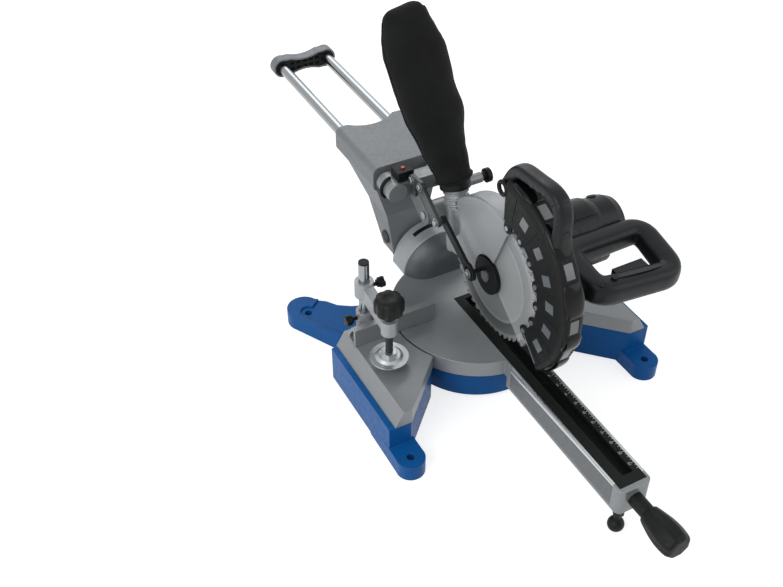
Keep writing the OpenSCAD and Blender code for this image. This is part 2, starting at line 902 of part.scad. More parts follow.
module rails() {
    color(chrome) for (x = rail_xs) translate([x, 0, rail_h]) difference() {
        rod_y(rail_front, rail_len, rail_d);
        rod_y(rail_front - 1, rail_len + 2, rail_d - 2 * rail_wall);
    }
}

rear_y = rail_front + rail_len - rear_len + 6;
rear_lobe = boss_r + 1;

// Dog-bone outline of the rear bracket, drawn in by e
module dog_bone(e) {
    waist = 11;
    bow_r = 70;
    translate([rail_x, rail_h]) {
        for (s = [-1, 1]) translate([s * rail_gap / 2, 0]) circle(r = rear_lobe - e);
        difference() {
            square([rail_gap, 2 * rear_lobe - 2 * e - 2], center = true);
            for (s = [-1, 1]) translate([0, s * (bow_r + waist - e)]) circle(r = bow_r);
        }
    }
}

module rear_bracket() {
    color(silver) difference() {
        xz(rear_y, rear_len) dog_bone(0);
        xz(rear_y - 1, 8) dog_bone(3);
        for (x = rail_xs) translate([x, 0, rail_h])
            rod_y(rear_y - 1, rear_len - 5, rail_d + 2 * seat_fit);
    }
}

// Ribbed black plate in the front of the rear bracket
module rear_plate() {
    color(black) difference() {
        xz(rear_y + 1, 6 - seat_fit) dog_bone(3 + seat_fit);
        for (x = [-24, -12, 0, 12, 24], z = [-5, 5]) translate([rail_x + x, rear_y, rail_h + z])
            cube([8, 8, 6], center = true);
        for (x = rail_xs) translate([x, 0, rail_h]) rod_y(rear_y, rear_len, rail_d + 2 * seat_fit);
    }
}

// Bracket at the front of the rails with the ears of the chop pivot
module head_bracket() {
    color(silver) difference() {
        union() {
            for (x = rail_xs) translate([x, 0, rail_h]) rod_y(boss_front, boss_back - boss_front, 2 * boss_r);
            translate([rail_xs[0], web_front, rail_h - web_half])
                cube([rail_gap, web_back - web_front, 2 * web_half]);
            for (ear = [ear_left, ear_right]) yz(ear[0], ear[1] - ear[0]) ear2d();
            translate(barrel) rod_x(0, barrel_end - barrel[0], 2 * barrel_r);
            yz(barrel[0], ear_right[1] - barrel[0]) link2d(barrel_foot, [barrel[1], barrel[2]], 2 * barrel_r);
        }
        for (x = rail_xs) translate([x, 0, rail_h]) rod_y(rail_front, 60, rail_d + 2 * seat_fit);
        translate(pivot) rod_x(-60, 120, pivot_d + 2 * seat_fit);
        translate(barrel) rod_x(-1, 60, lock_d + 2 * run_fit);
    }
}

module ear2d() {
    translate([pivot_y, table_h + pivot_z]) circle(r = 15);
    translate([0, table_h]) polygon([
        [pivot_y - 4, pivot_z + 14.4], [pivot_y + 22, rail_z + 10], [web_back, rail_z + web_half],
        [web_back, rail_z - web_half], [web_front, rail_z - web_half - 4], [pivot_y + 4, pivot_z - 14.4]
    ]);
}

module pivot_pin() {
    color(steel) translate(pivot) {
        rod_x(ear_left[0] - 3, ear_right[1] - ear_left[0] + 6, pivot_d);
        rod_x(ear_right[1] + seat_fit, 4, pivot_d + 6);
    }
}

// Torsion spring round the pivot pin between the hub and the right ear
spring_wire = 2.4;
spring_r = 10.4;
spring_turns = 3;
spring_rings = 12;
spring_sides = 6;
spring_room = ear_right[0] - hub_right - 2 * move_gap - spring_wire;

function spring_point(i) = let (a = 360 * i / spring_rings)
    [hub_right + move_gap + spring_wire / 2 + spring_room * i / (spring_rings * spring_turns),
     spring_r * cos(a), spring_r * sin(a)];

function spring_ring(i) = let (a = 360 * i / spring_rings, p = spring_point(i))
    [for (k = [0:spring_sides - 1]) let (b = 360 * k / spring_sides)
        p + spring_wire / 2 * [sin(b), cos(b) * cos(a), cos(b) * sin(a)]];

module return_spring() {
    n = spring_rings * spring_turns;
    s = spring_sides;
    color(steel) translate(pivot) polyhedron(
        points = [for (i = [0:n]) each spring_ring(i)],
        faces = concat(
            [for (k = [1:s - 2]) [0, k, k + 1]],
            [for (i = [0:n - 1], k = [0:s - 1]) [i * s + k, (i + 1) * s + k, (i + 1) * s + (k + 1) % s]],
            [for (i = [0:n - 1], k = [0:s - 1]) [i * s + k, (i + 1) * s + (k + 1) % s, i * s + (k + 1) % s]],
            [for (k = [1:s - 2]) [n * s, n * s + k + 1, n * s + k]]
        )
    );
}
spring_gap = norm(spring_point(spring_rings) - spring_point(0)) - spring_wire;
echo(spring_gap = spring_gap);

// Bent strut on the left ear that carries the guard rod
module guard_strut() {
    color(dark_grey) {
        yz(strut_x, strut_t) translate([0, table_h]) {
            link2d(strut_root, strut_knee, 17);
            link2d(strut_knee, strut_end, 15);
            link2d(strut_root, strut_tab, 15);
        }
        translate([0, strut_end[0], table_h + strut_end[1]])
            rod_x(strut_x + 1, rod_x + rod_t - strut_x, link_pin_d);
    }
}

// Rod from the strut to the crank pin, slotted at the crank
module guard_rod() {
    at = [strut_end[0], table_h + strut_end[1]];
    color(black) yz(rod_x, rod_t) translate(at) rotate(rod_angle) difference() {
        union() {
            link2d([0, 0], [rod_len, 0], 14);
            link2d([rod_len - 6, 0], [rod_len + 2, 0], 21);
        }
        circle(d = link_pin_d + 2 * run_fit);
        link2d([rod_len - 6.5, 0], [rod_len + 2, 0], crank_d + 2 * slot_play);
    }
}

// Spring pin with a mushroom knob that locks the head down
module lock_pin() {
    color(black) translate([0, barrel[1], barrel[2]]) {
        rod_x(barrel[0] + move_gap, barrel_end + 8 - barrel[0], lock_d);
        rod_x(barrel_end + 1, 8, 13);
        rod_x(barrel_end + 8, 7, 22);
    }
}

laser_at = [-64, web_front, rail_h + boss_r + seat_fit];
laser_size = [26, 23, 15];

// Switch box on the left rail boss
module laser_box() {
    color(black) difference() {
        translate(laser_at) cube(laser_size);
        translate(laser_at + [13, 11, laser_size[2] - 4]) cylinder(h = 6, d = 6 + 2 * move_gap);
    }
}

module laser_button() {
    color("#A02020") translate(laser_at + [13, 11, laser_size[2] - 2]) cylinder(h = 4, d = 6);
}

// Lead that loops round the left rail boss from the switch box
module laser_lead() {
    color(black) translate([rail_xs[0], web_front + 14, rail_h]) rotate([90, 0, 0])
        rotate([0, 0, 100]) rotate_extrude(angle = 130) translate([boss_r + 2.8, 0]) circle(d = 5, $fn = 32);
}

// Upper guard casting with the gear case, pivot hub and dust port
module upper_guard() {
    color(light_grey) difference() {
        union() {
            at_arbor() {
                yz(wall_left + 2 * draft, guard_wall)
                    sector(guard_hub_r + 3, guard_r - 1, upper_from + 1, upper_to - 1);
                yz(wall_right - guard_wall - 2 * draft, guard_wall)
                    sector(0, guard_r - 1, upper_from + 1, upper_to - 1);
                about_x(upper_from, upper_to) difference() {
                    rim_profile(guard_r - 12, guard_r, wall_left, wall_right, 5);
                    rim_profile(guard_r - 13, guard_r - guard_wall, wall_left + guard_wall,
                        wall_right - guard_wall, 3);
                }
                rod_x(wall_right - guard_wall, case_x - wall_right + guard_wall, 2 * (gear_r + 10));
                rod_x(nose_x, wall_right - nose_x, 2 * nose_r);
            }
            at_motor() rod_x(wall_right - guard_wall, case_x - wall_right + guard_wall, 2 * (motor_r - 8));
            hood_carrier();
            difference() {
                union() {
                    translate(pivot) rod_x(hub_left, hub_right - hub_left, 2 * pivot_hub_r);
                    yz(-8, hub_right + 8) translate([0, table_h]) polygon([
                        [pivot_y - 2, pivot_z + pivot_hub_r - 0.4],
                        [pivot_y - 2, pivot_z - pivot_hub_r + 0.4],
                        [pivot_y - 36, arbor_z - 14], [20, arbor_z + 50], [40, arbor_z + 68]
                    ]);
                    at_port() translate([0, 0, -port_len - 24]) cylinder(h = port_len + 24, d = port_d);
                }
                at_arbor() rod_x(wall_left - 1, wall_right - wall_left + 1, 2 * guard_r - 2);
            }
        }
        at_port() translate([0, 0, -port_len - 40]) cylinder(h = port_len + 60, d = port_d - 5);
        at_arbor() {
            rod_x(nose_x - 1, 60, arbor_d + 4);
            rod_x(nose_x + 1, 9, bearing_d + 2 * seat_fit);
            rod_x(wall_right + 4, case_x - wall_right - 4 - case_wall, 2 * gear_r + 10);
            rod_x(case_x - case_wall - 1, 8, 26);
        }
        at_motor() {
            rod_x(wall_right + 4, case_x - wall_right - 4 - case_wall, 2 * pinion_r + 24);
            rod_x(case_x - case_wall - 1, 8, small_bearing_d + 2 * seat_fit);
        }
        translate(pivot) rod_x(-60, 120, pivot_d + 2 * run_fit);
    }
}

// Boss and wing of the upper guard that carry the hood
module hood_carrier() {
    p = hood_polar(hood_screw_r(0), hood_screw_angle(0));
    at_hood() translate([0, p[0], p[1]]) rod_x(wall_left, wall_right / 2 - wall_left, hood_boss_d);
    at_hood() yz(hood_right - hood_wall - draft - seat_fit - wing_t, wing_t)
        link2d([24, 66], hood_polar(hood_right_r + 20, 120), 24);
}

bearing_d = 36;
small_bearing_d = 26;
armature_d = 10;
bearing_w = 9;

// Ball bearings drawn as rings: spindle nose, spindle rear, motor front and motor rear
module bearings() {
    color(steel) {
        at_arbor() {
            bearing(nose_x + 1, bearing_w - seat_fit, bearing_d, arbor_d);
            bearing(case_x - case_wall - 4, case_wall + 3, 26 - 2 * seat_fit, 12);
        }
        at_motor() {
            bearing(case_x - case_wall - 1 + seat_fit, 8, small_bearing_d, armature_d);
            bearing(motor_x + motor_len - 16, 9, 22, armature_d);
        }
    }
}

module bearing(x, w, outer, inner) {
    difference() {
        rod_x(x, w, outer);
        rod_x(x - 1, w + 2, inner + 2 * run_fit);
    }
}

function hood_screw_angle(i) = hood_from + 7 + i * (hood_to - hood_from - 10.3) / (hood_screw_n - 1);

function hood_screw_r(i) = i == 0 ? hood_edge_r - 8 : hood_edge_r;

function hood_polar(r, a) = r * [cos(a), sin(a)];

// Black front hood: side plates, rounded rim, scalloped edge and hook
module front_hood() {
    color(black) at_hood() difference() {
        union() {
            about_x(hood_from, hood_to) difference() {
                rim_profile(hood_edge_r, hood_r, hood_left, hood_right, hood_c);
                rim_profile(hood_edge_r - 1, hood_r - hood_wall, hood_left + hood_wall,
                    hood_right - hood_wall, hood_c - hood_wall);
                translate([0, hood_right - hood_c]) square([hood_right_r, 2 * hood_c]);
            }
            for (i = [0:hood_screw_n - 1]) hood_lobe(i);
            rotate([hook_angle, 0, 0]) translate([hood_left + hood_wall / 2, hook_r, 0]) rotate([0, 90, 0])
                rotate_extrude() translate([hook_ring_r, 0]) circle(d = hook_d, $fn = 24);
        }
        for (a = pane_angles) rotate([a, 0, 0]) side_pane(0, hood_left - 1, hood_wall + 2);
        for (a = rim_angles) rotate([a, 0, 0]) rim_pane(0);
        for (i = [0:hood_screw_n - 1]) rotate([hood_screw_angle(i), 0, 0])
            translate([0, hood_screw_r(i), 0]) rod_x(hood_left - 1, hood_wall + 2, 3 + screw_fit);
    }
}

// Ear of one hood screw on the inner edge
module hood_lobe(i) {
    a = hood_screw_angle(i);
    yz(hood_left, hood_wall - draft)
        link2d(hood_polar(hood_screw_r(i), a), hood_polar(hood_edge_r + 8, a), hood_lobe_d);
}

module side_pane(e, x, w) {
    translate([x, pane_r - pane_l / 2 + e, -pane_w / 2 + e]) cube([w, pane_l - 2 * e, pane_w - 2 * e]);
}

module rim_pane(e) {
    translate([hood_left + hood_c + 1 + e, hood_r - hood_wall - 1, -rim_pane_l / 2 + e])
        cube([hood_right - hood_left - 2 * hood_c - 2 - 2 * e, hood_wall + 3, rim_pane_l - 2 * e]);
}

// Clear panes in the side and the rim of the hood
module hood_windows() {
    color("#7C8488", 0.6) at_hood() {
        for (a = pane_angles) rotate([a, 0, 0]) side_pane(pane_fit, hood_left + 0.5, hood_wall - 0.5);
        for (a = rim_angles) rotate([a, 0, 0]) intersection() {
            rim_pane(pane_fit);
            about_x(-30, 30) translate([hood_r - hood_wall, hood_left])
                square([hood_wall - 0.3, hood_right - hood_left]);
        }
    }
}

module hood_screws() {
    color(chrome) at_hood() for (i = [0:hood_screw_n - 1]) rotate([hood_screw_angle(i), 0, 0])
        translate([hood_left, hood_screw_r(i), 0]) rotate([0, -90, 0]) pan_screw(3, hood_wall, 7, 2);
}

// Points of the carry handle, from the table
carry_x = 3;
carry_path = [[-67, 272], [-87, 300], [-160, 308], [-177, 284], [-182, 240]];

// Carry handle over the hood
module carry_handle() {
    at = [for (p = carry_path) [carry_x, p[0], p[1] + table_h]];
    color(black) difference() {
        union() {
            for (i = [0:len(at) - 2]) bar(at[i], at[i + 1], carry_d);
        }
        at_hood() rod_x(hood_left, hood_right - hood_left, 2 * hood_r + move_gap);
    }
}

// Motor housing, a stepped shell about the motor axis
module motor_housing() {
    x0 = motor_x;
    x1 = motor_x + motor_len;
    color(black) at_motor() difference() {
        union() {
            rotate([90, 0, 90]) rotate_extrude() polygon([
                [0, x0 + seat_fit], [motor_r, x0 + seat_fit], [motor_r, x1 - 52], [motor_r - 3, x1 - 44],
                [motor_r - 4, x1 - 18], [motor_r - 9, x1 - 6], [motor_r - 18, x1], [0, x1]
            ]);
            translate(lobe_at) rod_x(x0 + 1, lobe_len, 2 * lobe_r);
        }
        rotate([90, 0, 90]) rotate_extrude() polygon([
            [0, x0 - 1], [motor_r - motor_wall, x0 - 1], [motor_r - motor_wall, x1 - 54],
            [motor_r - motor_wall - 4, x1 - 46], [motor_r - motor_wall - 5, x1 - 22], [18, x1 - 16],
            [18, x1 - 17], [22 / 2 + seat_fit, x1 - 17], [22 / 2 + seat_fit, x1 - 6], [0, x1 - 6]
        ]);
        for (a = brush_angles) rotate([a, 0, 0]) translate([brush_x, motor_r - 20, 0])
            rod_y(0, 40, 14 + 2 * seat_fit);
    }
}

lobe_at = [0, -22, -10];
lobe_r = 32;
lobe_len = 99;
brush_angles = [60, 240];
brush_x = motor_x + motor_len - 32;

module brush_caps() {
    color(black) at_motor() for (a = brush_angles) rotate([a, 0, 0]) translate([brush_x, 0, 0]) difference() {
        rod_y(motor_r - 14, 12, 14);
        translate([0, motor_r - 3, 0]) cube([9, 3, 1.6], center = true);
    }
}

stator_x = motor_x + 28;
stator_len = 60;
rotor_r = 23;

module stator() {
    color(steel) at_motor() difference() {
        rod_x(stator_x, stator_len, 2 * (motor_r - motor_wall - seat_fit));
        rod_x(stator_x - 1, stator_len + 2, 2 * rotor_r + 2);
    }
}

// Armature with pinion, fan, core and commutator on one shaft
module armature() {
    x1 = motor_x + motor_len;
    color(steel) at_motor() {
        rod_x(gear_x - 3, x1 - 8 - gear_x + 3, armature_d);
        yz(gear_x - 1, gear_w + 2) gear2d(pinion_teeth, motor_angle + 180);
        rod_x(motor_x + 10, 8, 2 * (motor_r - motor_wall - 5));
        rod_x(stator_x, stator_len, 2 * rotor_r);
        rod_x(stator_x + stator_len + 5, 20, 32);
    }
}

// Spindle with the drive gear
module spindle() {
    color(steel) at_arbor() difference() {
        union() {
            rod_x(blade_t / 2 + flange_t + seat_fit, gear_x + gear_w + 3 - blade_t / 2 - flange_t, arbor_d);
            rod_x(0, case_x - 2, 12);
            yz(gear_x, gear_w) gear2d(gear_teeth, motor_angle + 180 / gear_teeth);
        }
        rod_x(-1, 20, 8 + 2 * seat_fit);
    }
}

// Inner flange with the blade boss, and outer flange
module flanges() {
    half = blade_t / 2 + seat_fit;
    color(steel) at_arbor() {
        difference() {
            union() {
                rod_x(half, flange_t - seat_fit, 2 * flange_r);
                rod_x(0, half + 1, 30);
            }
            rod_x(-10, 20, 12 + 2 * seat_fit);
        }
        difference() {
            rod_x(-half - flange_t, flange_t, 2 * flange_r);
            rod_x(-10, 20, 8 + 2 * seat_fit);
        }
    }
}

// Blade with raked teeth
module blade() {
    step = 360 / blade_teeth;
    color("#AEB1B0") at_arbor() yz(-blade_t / 2, blade_t) difference() {
        polygon([for (i = [0:blade_teeth - 1], k = [[0, 0], [0.12, -7], [0.4, -6], [0.62, -2.2]])
            (blade_d / 2 + k[1]) * [cos((i + k[0]) * step), sin((i + k[0]) * step)]]);
        circle(d = 30 + 2 * seat_fit);
    }
}

module arbor_bolt() {
    head = -blade_t / 2 - flange_t - 2 * seat_fit;
    color(black) at_arbor() {
        rod_x(bolt_head_x, head - bolt_head_x, bolt_head_d);
        rod_x(head - 1, 19, 8);
    }
}

// Clear lower guard: two side plates and a rim
module lower_guard() {
    color("#DDE6EA", 0.4) at_arbor() difference() {
        union() {
            yz(clear_left, clear_wall) {
                sector(0, clear_r, clear_from, clear_to);
                circle(r = guard_hub_r - 3);
            }
            yz(clear_right - clear_wall, clear_wall) {
                sector(0, clear_r, clear_from, clear_to);
                circle(r = nose_r + 5);
            }
            yz(clear_left, clear_right - clear_left)
                sector(clear_r - clear_wall, clear_r, clear_from, clear_to);
        }
        rod_x(clear_left - 1, 6, bolt_head_d + 2);
        rod_x(clear_right - 6, 10, 2 * nose_r + 2 * run_fit);
    }
}

// Black guard hub on the arbor bolt, with the crank pin and a pointed lever
module guard_hub() {
    color(black) at_arbor() difference() {
        union() {
            rod_x(hub_disc_x, clear_left - hub_disc_x - seat_fit, 2 * guard_hub_r);
            rotate([crank_angle, 0, 0]) translate([0, crank_r, 0])
                rod_x(rod_x - 1, hub_disc_x - rod_x + 2, crank_d);
        }
        rod_x(hub_disc_x - 1, 20, bolt_head_d + 2 * run_fit);
    }
}

// D-handle loop in front of the motor
grip_z = 142;
grip_front = -191;
grip_left = 66;
grip_right = 188;
grip_back = -112;
grip_rise = 8;
grip_splay = 11;

module d_handle() {
    z0 = table_h + grip_z;
    front_left = [grip_left, grip_front, z0];
    front_right = [grip_right, grip_front, z0];
    back_right = [grip_right + grip_splay, grip_back, z0 + grip_rise];
    back_left = [grip_left, grip_back, z0 + grip_rise];
    color(black) difference() {
        union() {
            bar(front_left, front_right, grip_d);
            bar(front_right, back_right, grip_d - 4);
            bar(back_right, back_left, grip_d - 4);
            bar(back_left, front_left, grip_d - 2);
        }
        at_motor() {
            rod_x(0, 400, 2 * motor_r + 2 * seat_fit);
            translate(lobe_at) rod_x(motor_x, lobe_len + 2, 2 * lobe_r + 2 * seat_fit);
        }
        translate([trigger_x - move_gap, grip_front - 1, z0 - 8 - move_gap])
            cube([trigger_w + 2 * move_gap, 40, 16 + 2 * move_gap]);
        translate([button_x, grip_front, z0 + 2]) cylinder(h = 30, d = 10 + 2 * move_gap);
    }
}

trigger_x = 108;
trigger_w = 50;
trigger_travel = 5;
button_x = 92;

module trigger() {
    color("#2C3136") translate([trigger_x, grip_front + trigger_travel, table_h + grip_z - 8])
        cube([trigger_w, 20, 16]);
}

module lock_button() {
    color("#2C3136") translate([button_x, grip_front, table_h + grip_z + 7]) cylinder(h = 13, d = 10);
}

// Frame of the port: Z along the port, origin at its mouth
module at_port() {
    translate(port_base) rotate([-port_lean, 0, 0]) translate([0, 0, port_len]) children();
}

module bag_collar() {
    color(black) at_port() difference() {
        translate([0, 0, -collar_h + 4]) cylinder(h = collar_h, d = collar_d);
        translate([0, 0, -collar_h]) cylinder(h = collar_h, d = port_d + 2 * seat_fit);
        translate([0, 0, -1]) cylinder(h = 10, d = port_d - 6);
    }
}

// Dust bag as a plain closed solid on its collar
module dust_bag() {
    lift = 4 + move_gap - bag_neck_r * sin(bag_side);
    color("#15181A") at_port() translate([0, 0, lift]) rotate([0, bag_side, 0]) hull() {
        cylinder(h = 2, r = bag_neck_r, $fn = 32);
        translate([0, 0, 55]) scale([1, 0.78, 1]) cylinder(h = 2, r = bag_r - 9, $fn = 32);
        translate([0, 0, bag_len * 0.5]) scale([1, 0.78, 1]) cylinder(h = 2, r = bag_r, $fn = 32);
        translate([0, 0, bag_len - 50]) scale([1, 0.74, 1]) cylinder(h = 2, r = bag_r - 5, $fn = 32);
        translate([0, 0, bag_len - 4]) scale([1, 0.5, 1]) cylinder(h = 4, r = bag_r - 16, $fn = 32);
    }
}

base_frame();
table_left();
table_right();
fence_left();
fence_right();
fence_screws();
turntable_bolt();
clamp_post();
post_cap();
post_screw();
clamp_arm();
arm_screw();
clamp_spindle();
clamp_knob();
clamp_pad();
turntable();
arm_insert();
bevel_trunnion();
bevel_bolt();
mitre_handle();
front_foot();
bevel_lever();
bevel_column();
rail_bushes();
column_plug();
slide_knob();
rails();
rear_bracket();
rear_plate();
head_bracket();
pivot_pin();
return_spring();
guard_strut();
lock_pin();
laser_box();
laser_button();
laser_lead();
upper_guard();
front_hood();
hood_windows();
hood_screws();
carry_handle();
motor_housing();
brush_caps();
stator();
d_handle();
bag_collar();
dust_bag();
trigger();
lock_button();
armature();
bearings();
spindle();
flanges();
blade();
arbor_bolt();
lower_guard();
guard_hub();
guard_rod();
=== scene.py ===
"""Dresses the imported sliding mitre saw: finishes, bag, grips, blade, scales and trim.

Lengths in the classes are in millimetres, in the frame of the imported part: the bench is z = 0, the
fence face is Y = 0 and +X is to the right of a person who stands in front of the saw.
"""

from __future__ import annotations

import json
import logging
import math
from dataclasses import dataclass, field
from enum import Enum
from typing import Any, Callable, Iterable, Sequence

import bmesh
import bpy
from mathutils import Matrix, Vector, noise
from mathutils.bvhtree import BVHTree

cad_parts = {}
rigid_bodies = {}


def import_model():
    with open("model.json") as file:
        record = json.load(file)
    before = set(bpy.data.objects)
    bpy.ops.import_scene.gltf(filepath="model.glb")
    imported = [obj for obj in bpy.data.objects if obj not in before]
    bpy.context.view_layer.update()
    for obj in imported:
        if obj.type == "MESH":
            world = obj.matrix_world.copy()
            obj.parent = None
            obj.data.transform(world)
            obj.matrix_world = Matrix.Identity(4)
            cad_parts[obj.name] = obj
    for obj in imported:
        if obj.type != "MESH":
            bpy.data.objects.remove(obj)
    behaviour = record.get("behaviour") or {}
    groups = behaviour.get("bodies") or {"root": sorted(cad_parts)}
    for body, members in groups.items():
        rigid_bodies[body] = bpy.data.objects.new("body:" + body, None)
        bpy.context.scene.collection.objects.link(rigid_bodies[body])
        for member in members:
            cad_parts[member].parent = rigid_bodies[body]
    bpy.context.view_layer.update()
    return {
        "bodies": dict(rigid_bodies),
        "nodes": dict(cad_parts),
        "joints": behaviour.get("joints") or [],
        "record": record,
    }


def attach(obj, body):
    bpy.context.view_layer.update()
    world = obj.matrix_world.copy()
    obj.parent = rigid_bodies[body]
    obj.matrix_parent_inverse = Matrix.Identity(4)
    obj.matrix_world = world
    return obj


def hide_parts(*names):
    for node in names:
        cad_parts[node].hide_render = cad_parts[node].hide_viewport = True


log = logging.getLogger("saw")

MM = 0.001
Pair = tuple[float, float]
Point = tuple[float, float, float]
Outline = tuple[Pair, ...]
Ring = list[Vector]
Shape = tuple[Ring, list[tuple[int, ...]]]
Section = Callable[[int, float], Pair]
Tree = bpy.types.NodeTree
Socket = bpy.types.NodeSocket
Material = bpy.types.Material

# Where most values of a noise texture lie, and its upper part, for marks that are far apart.
NOISE_BODY = {"From Min": 0.3, "From Max": 0.7}
NOISE_PEAKS = {"From Min": 0.45, "From Max": 0.8}
# Bands of Blender's wave texture for a scale of 1.
WAVE_BANDS = 20
SMOOTHEST = 0.02
WHITE = (1.0, 1.0, 1.0, 1.0)


class Slot(Enum):
    """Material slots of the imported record."""

    BLUE = "blue_paint"
    SILVER = "silver_cast"
    GREY = "grey_cast"
    DARK = "dark_cast"
    BLACK = "black_plastic"
    GRIP = "grip_plastic"
    CHROME = "chrome"
    STEEL = "steel"
    BLADE = "blade_steel"
    CLEAR = "clear"
    SMOKE = "smoke"
    CLOTH = "fabric"
    RED = "red_plastic"


class Axis(Enum):
    """Axes that a turned piece can lie along, each with the two directions across it."""

    X = ((1, 0, 0), (0, 1, 0), (0, 0, 1))
    Y = ((0, 1, 0), (0, 0, 1), (1, 0, 0))
    Z = ((0, 0, 1), (1, 0, 0), (0, 1, 0))


# Meshes


def place(name: str, data: bpy.types.ID) -> bpy.types.Object:
    """Puts a mesh, a lamp or a camera into the scene.

    Args:
        name: Name of the object.
        data: What it shows.

    Returns:
        The object.
    """
    made = bpy.data.objects.new(name, data)
    bpy.context.collection.objects.link(made)
    return made


def mm(x: float, y: float, z: float) -> Vector:
    """Gives a point in metres from millimetres."""
    return Vector((x, y, z)) * MM


def loft(rings: Sequence[Ring], closed: bool = False) -> Shape:
    """Joins rings of equal length into one skin, with a face at each end that is left open.

    Args:
        rings: Rings of points, each in the same turning sense.
        closed: Whether the last ring joins the first one again.

    Returns:
        The vertices and the faces.
    """
    count = len(rings[0])
    verts = [p for ring in rings for p in ring]
    faces: list[tuple[int, ...]] = []
    spans = len(rings) if closed else len(rings) - 1
    for i in range(spans):
        a, b = i * count, (i + 1) % len(rings) * count
        for j in range(count):
            k = (j + 1) % count
            faces.append((a + j, a + k, b + k, b + j))
    if not closed:
        last = (len(rings) - 1) * count
        faces.append(tuple(reversed(range(count))))
        faces.append(tuple(range(last, last + count)))
    return verts, faces


def turned(profile: Iterable[Pair], at: Point, axis: Axis, steps: int = 48,
           shape: Callable[[float, float], float] | None = None) -> list[Ring]:
    """Revolves a profile about an axis.

    Args:
        profile: Pairs of radius and distance along the axis, in millimetres.
        at: Where the axis starts, in millimetres.
        axis: The axis.
        steps: Points in a ring.
        shape: A factor on the radius from the turn angle and the distance along the axis.

    Returns:
        The rings for a loft.
    """
    along, u, v = (Vector(d) for d in axis.value)
    rings = []
    for r, h in profile:
        ring = []
        for j in range(steps):
            a = 2 * math.pi * j / steps
            f = shape(a, h) if shape else 1.0
            ring.append((Vector(at) + along * h + (u * math.cos(a) + v * math.sin(a)) * r * f) * MM)
        rings.append(ring)
    return rings


def smooth_path(points: Sequence[Point], steps: int) -> list[Vector]:
    """Runs a smooth curve through points.

    Args:
        points: Points in millimetres.
        steps: Steps between two points.

    Returns:
        Points along the curve, in millimetres.
    """
    p = [Vector(q) for q in points]
    last = len(p) - 1
    out = []
    for i in range(last):
        a, b, c, d = (p[min(max(i + k, 0), last)] for k in (-1, 0, 1, 2))
        for s in range(steps):
            t = s / steps
            out.append(0.5 * (2 * b + (c - a) * t + (2 * a - 5 * b + 4 * c - d) * t * t
                              + (3 * b - a - 3 * c + d) * t ** 3))
    return [*out, p[-1]]


def rounded_loop(corners: Sequence[Point], radius: float,
                 step: float = 4.0) -> list[tuple[Vector, float]]:
    """Rounds the corners of a closed loop.

    Args:
        corners: The corner points in millimetres.
        radius: How far from a corner its curve starts, in millimetres.
        step: Spacing of the points in millimetres.

    Returns:
        Points with their place on the loop, where whole numbers are the corners.
    """
    p = [Vector(c) for c in corners]
    n = len(p)
    out: list[tuple[Vector, float]] = []
    for i in range(n):
        before, here, after = p[i - 1], p[i], p[(i + 1) % n]
        a = here + (before - here).normalized() * radius
        b = here + (after - here).normalized() * radius
        turns = max(4, round(1.6 * radius / step))
        for s in range(turns + 1):
            t = s / turns
            out.append((a.lerp(here, t).lerp(here.lerp(b, t), t), i + 0.5 * t - 0.25))
        c = after + (here - after).normalized() * radius
        legs = max(2, round((c - b).length / step))
        out.extend((b.lerp(c, s / legs), i + 0.25 + 0.5 * s / legs) for s in range(1, legs))
    return out


def swept(path: Sequence[Vector], section: Section, up: Vector,
          closed: bool = False, steps: int = 24) -> list[Ring]:
    """Sweeps a section along a path.

    Args:
        path: Points in millimetres.
        section: Gives the offset to the side and upwards from the path's index and the turn angle.
        up: The direction that the section keeps upright.
        closed: Whether the path is a loop.
        steps: Points in a ring.

    Returns:
        The rings for a loft.
    """
    n = len(path)
    rings = []
    for i, p in enumerate(path):
        ahead = path[(i + 1) % n] if closed or i < n - 1 else p
        behind = path[i - 1] if closed or i > 0 else p
        t = (ahead - behind).normalized()
        side = t.cross(up).normalized()
        rise = side.cross(t)
        ring = []
        for j in range(steps):
            s, h = section(i, 2 * math.pi * j / steps)
            ring.append((p + side * s + rise * h) * MM)
        rings.append(ring)
    return rings


def squircle(angle: float, width: float, height: float, power: float = 2.6) -> Pair:
    """Gives a point of a rounded section from its angle, full width and full height."""
    c, s = math.cos(angle), math.sin(angle)
    f = (abs(c) ** power + abs(s) ** power) ** (-1 / power)
    return 0.5 * width * f * c, 0.5 * height * f * s


def about(centre: Point, x: float, r: float, degrees: float) -> Vector:
    """Gives a point in millimetres from its X, and its radius and angle about an axis along X."""
    a = math.radians(degrees)
    return Vector((x, centre[1] + r * math.cos(a), centre[2] + r * math.sin(a)))


def strip(path: Sequence[Vector], width: float, height: float, up: Point, power: float = 2.0,
          steps: int = 10) -> Shape:
    """Sweeps one rounded section along a path.

    Args:
        path: Points in millimetres.
        width: Width of the section in millimetres.
        height: Its height along up, in millimetres.
        up: The direction that the section keeps upright.
        power: 2 for an ellipse, more for a squarer section.
        steps: Points in a ring.

    Returns:
        The vertices and the faces.
    """
    return loft(swept(path, lambda i, a: squircle(a, width, height, power), Vector(up), steps=steps))


def block(low: Point, high: Point) -> Shape:
    """Gives the eight corners and six faces of a block between two corners in millimetres."""
    (x0, y0, z0), (x1, y1, z1) = low, high
    verts = [mm(x, y, z) for z in (z0, z1) for x, y in ((x0, y0), (x1, y0), (x1, y1), (x0, y1))]
    faces = [(3, 2, 1, 0), (4, 5, 6, 7), (0, 1, 5, 4), (1, 2, 6, 5), (2, 3, 7, 6), (3, 0, 4, 7)]
    return verts, faces


@dataclass
class Skin:
    """Several lofts and blocks gathered into one mesh."""

    verts: Ring = field(default_factory=list)
    faces: list[tuple[int, ...]] = field(default_factory=list)

    def add(self, made: Shape) -> Skin:
        """Adds vertices and faces.

        Args:
            made: Vertices in metres and faces.

        Returns:
            The skin itself.
        """
        start = len(self.verts)
        self.verts.extend(made[0])
        self.faces.extend(tuple(i + start for i in f) for f in made[1])
        return self


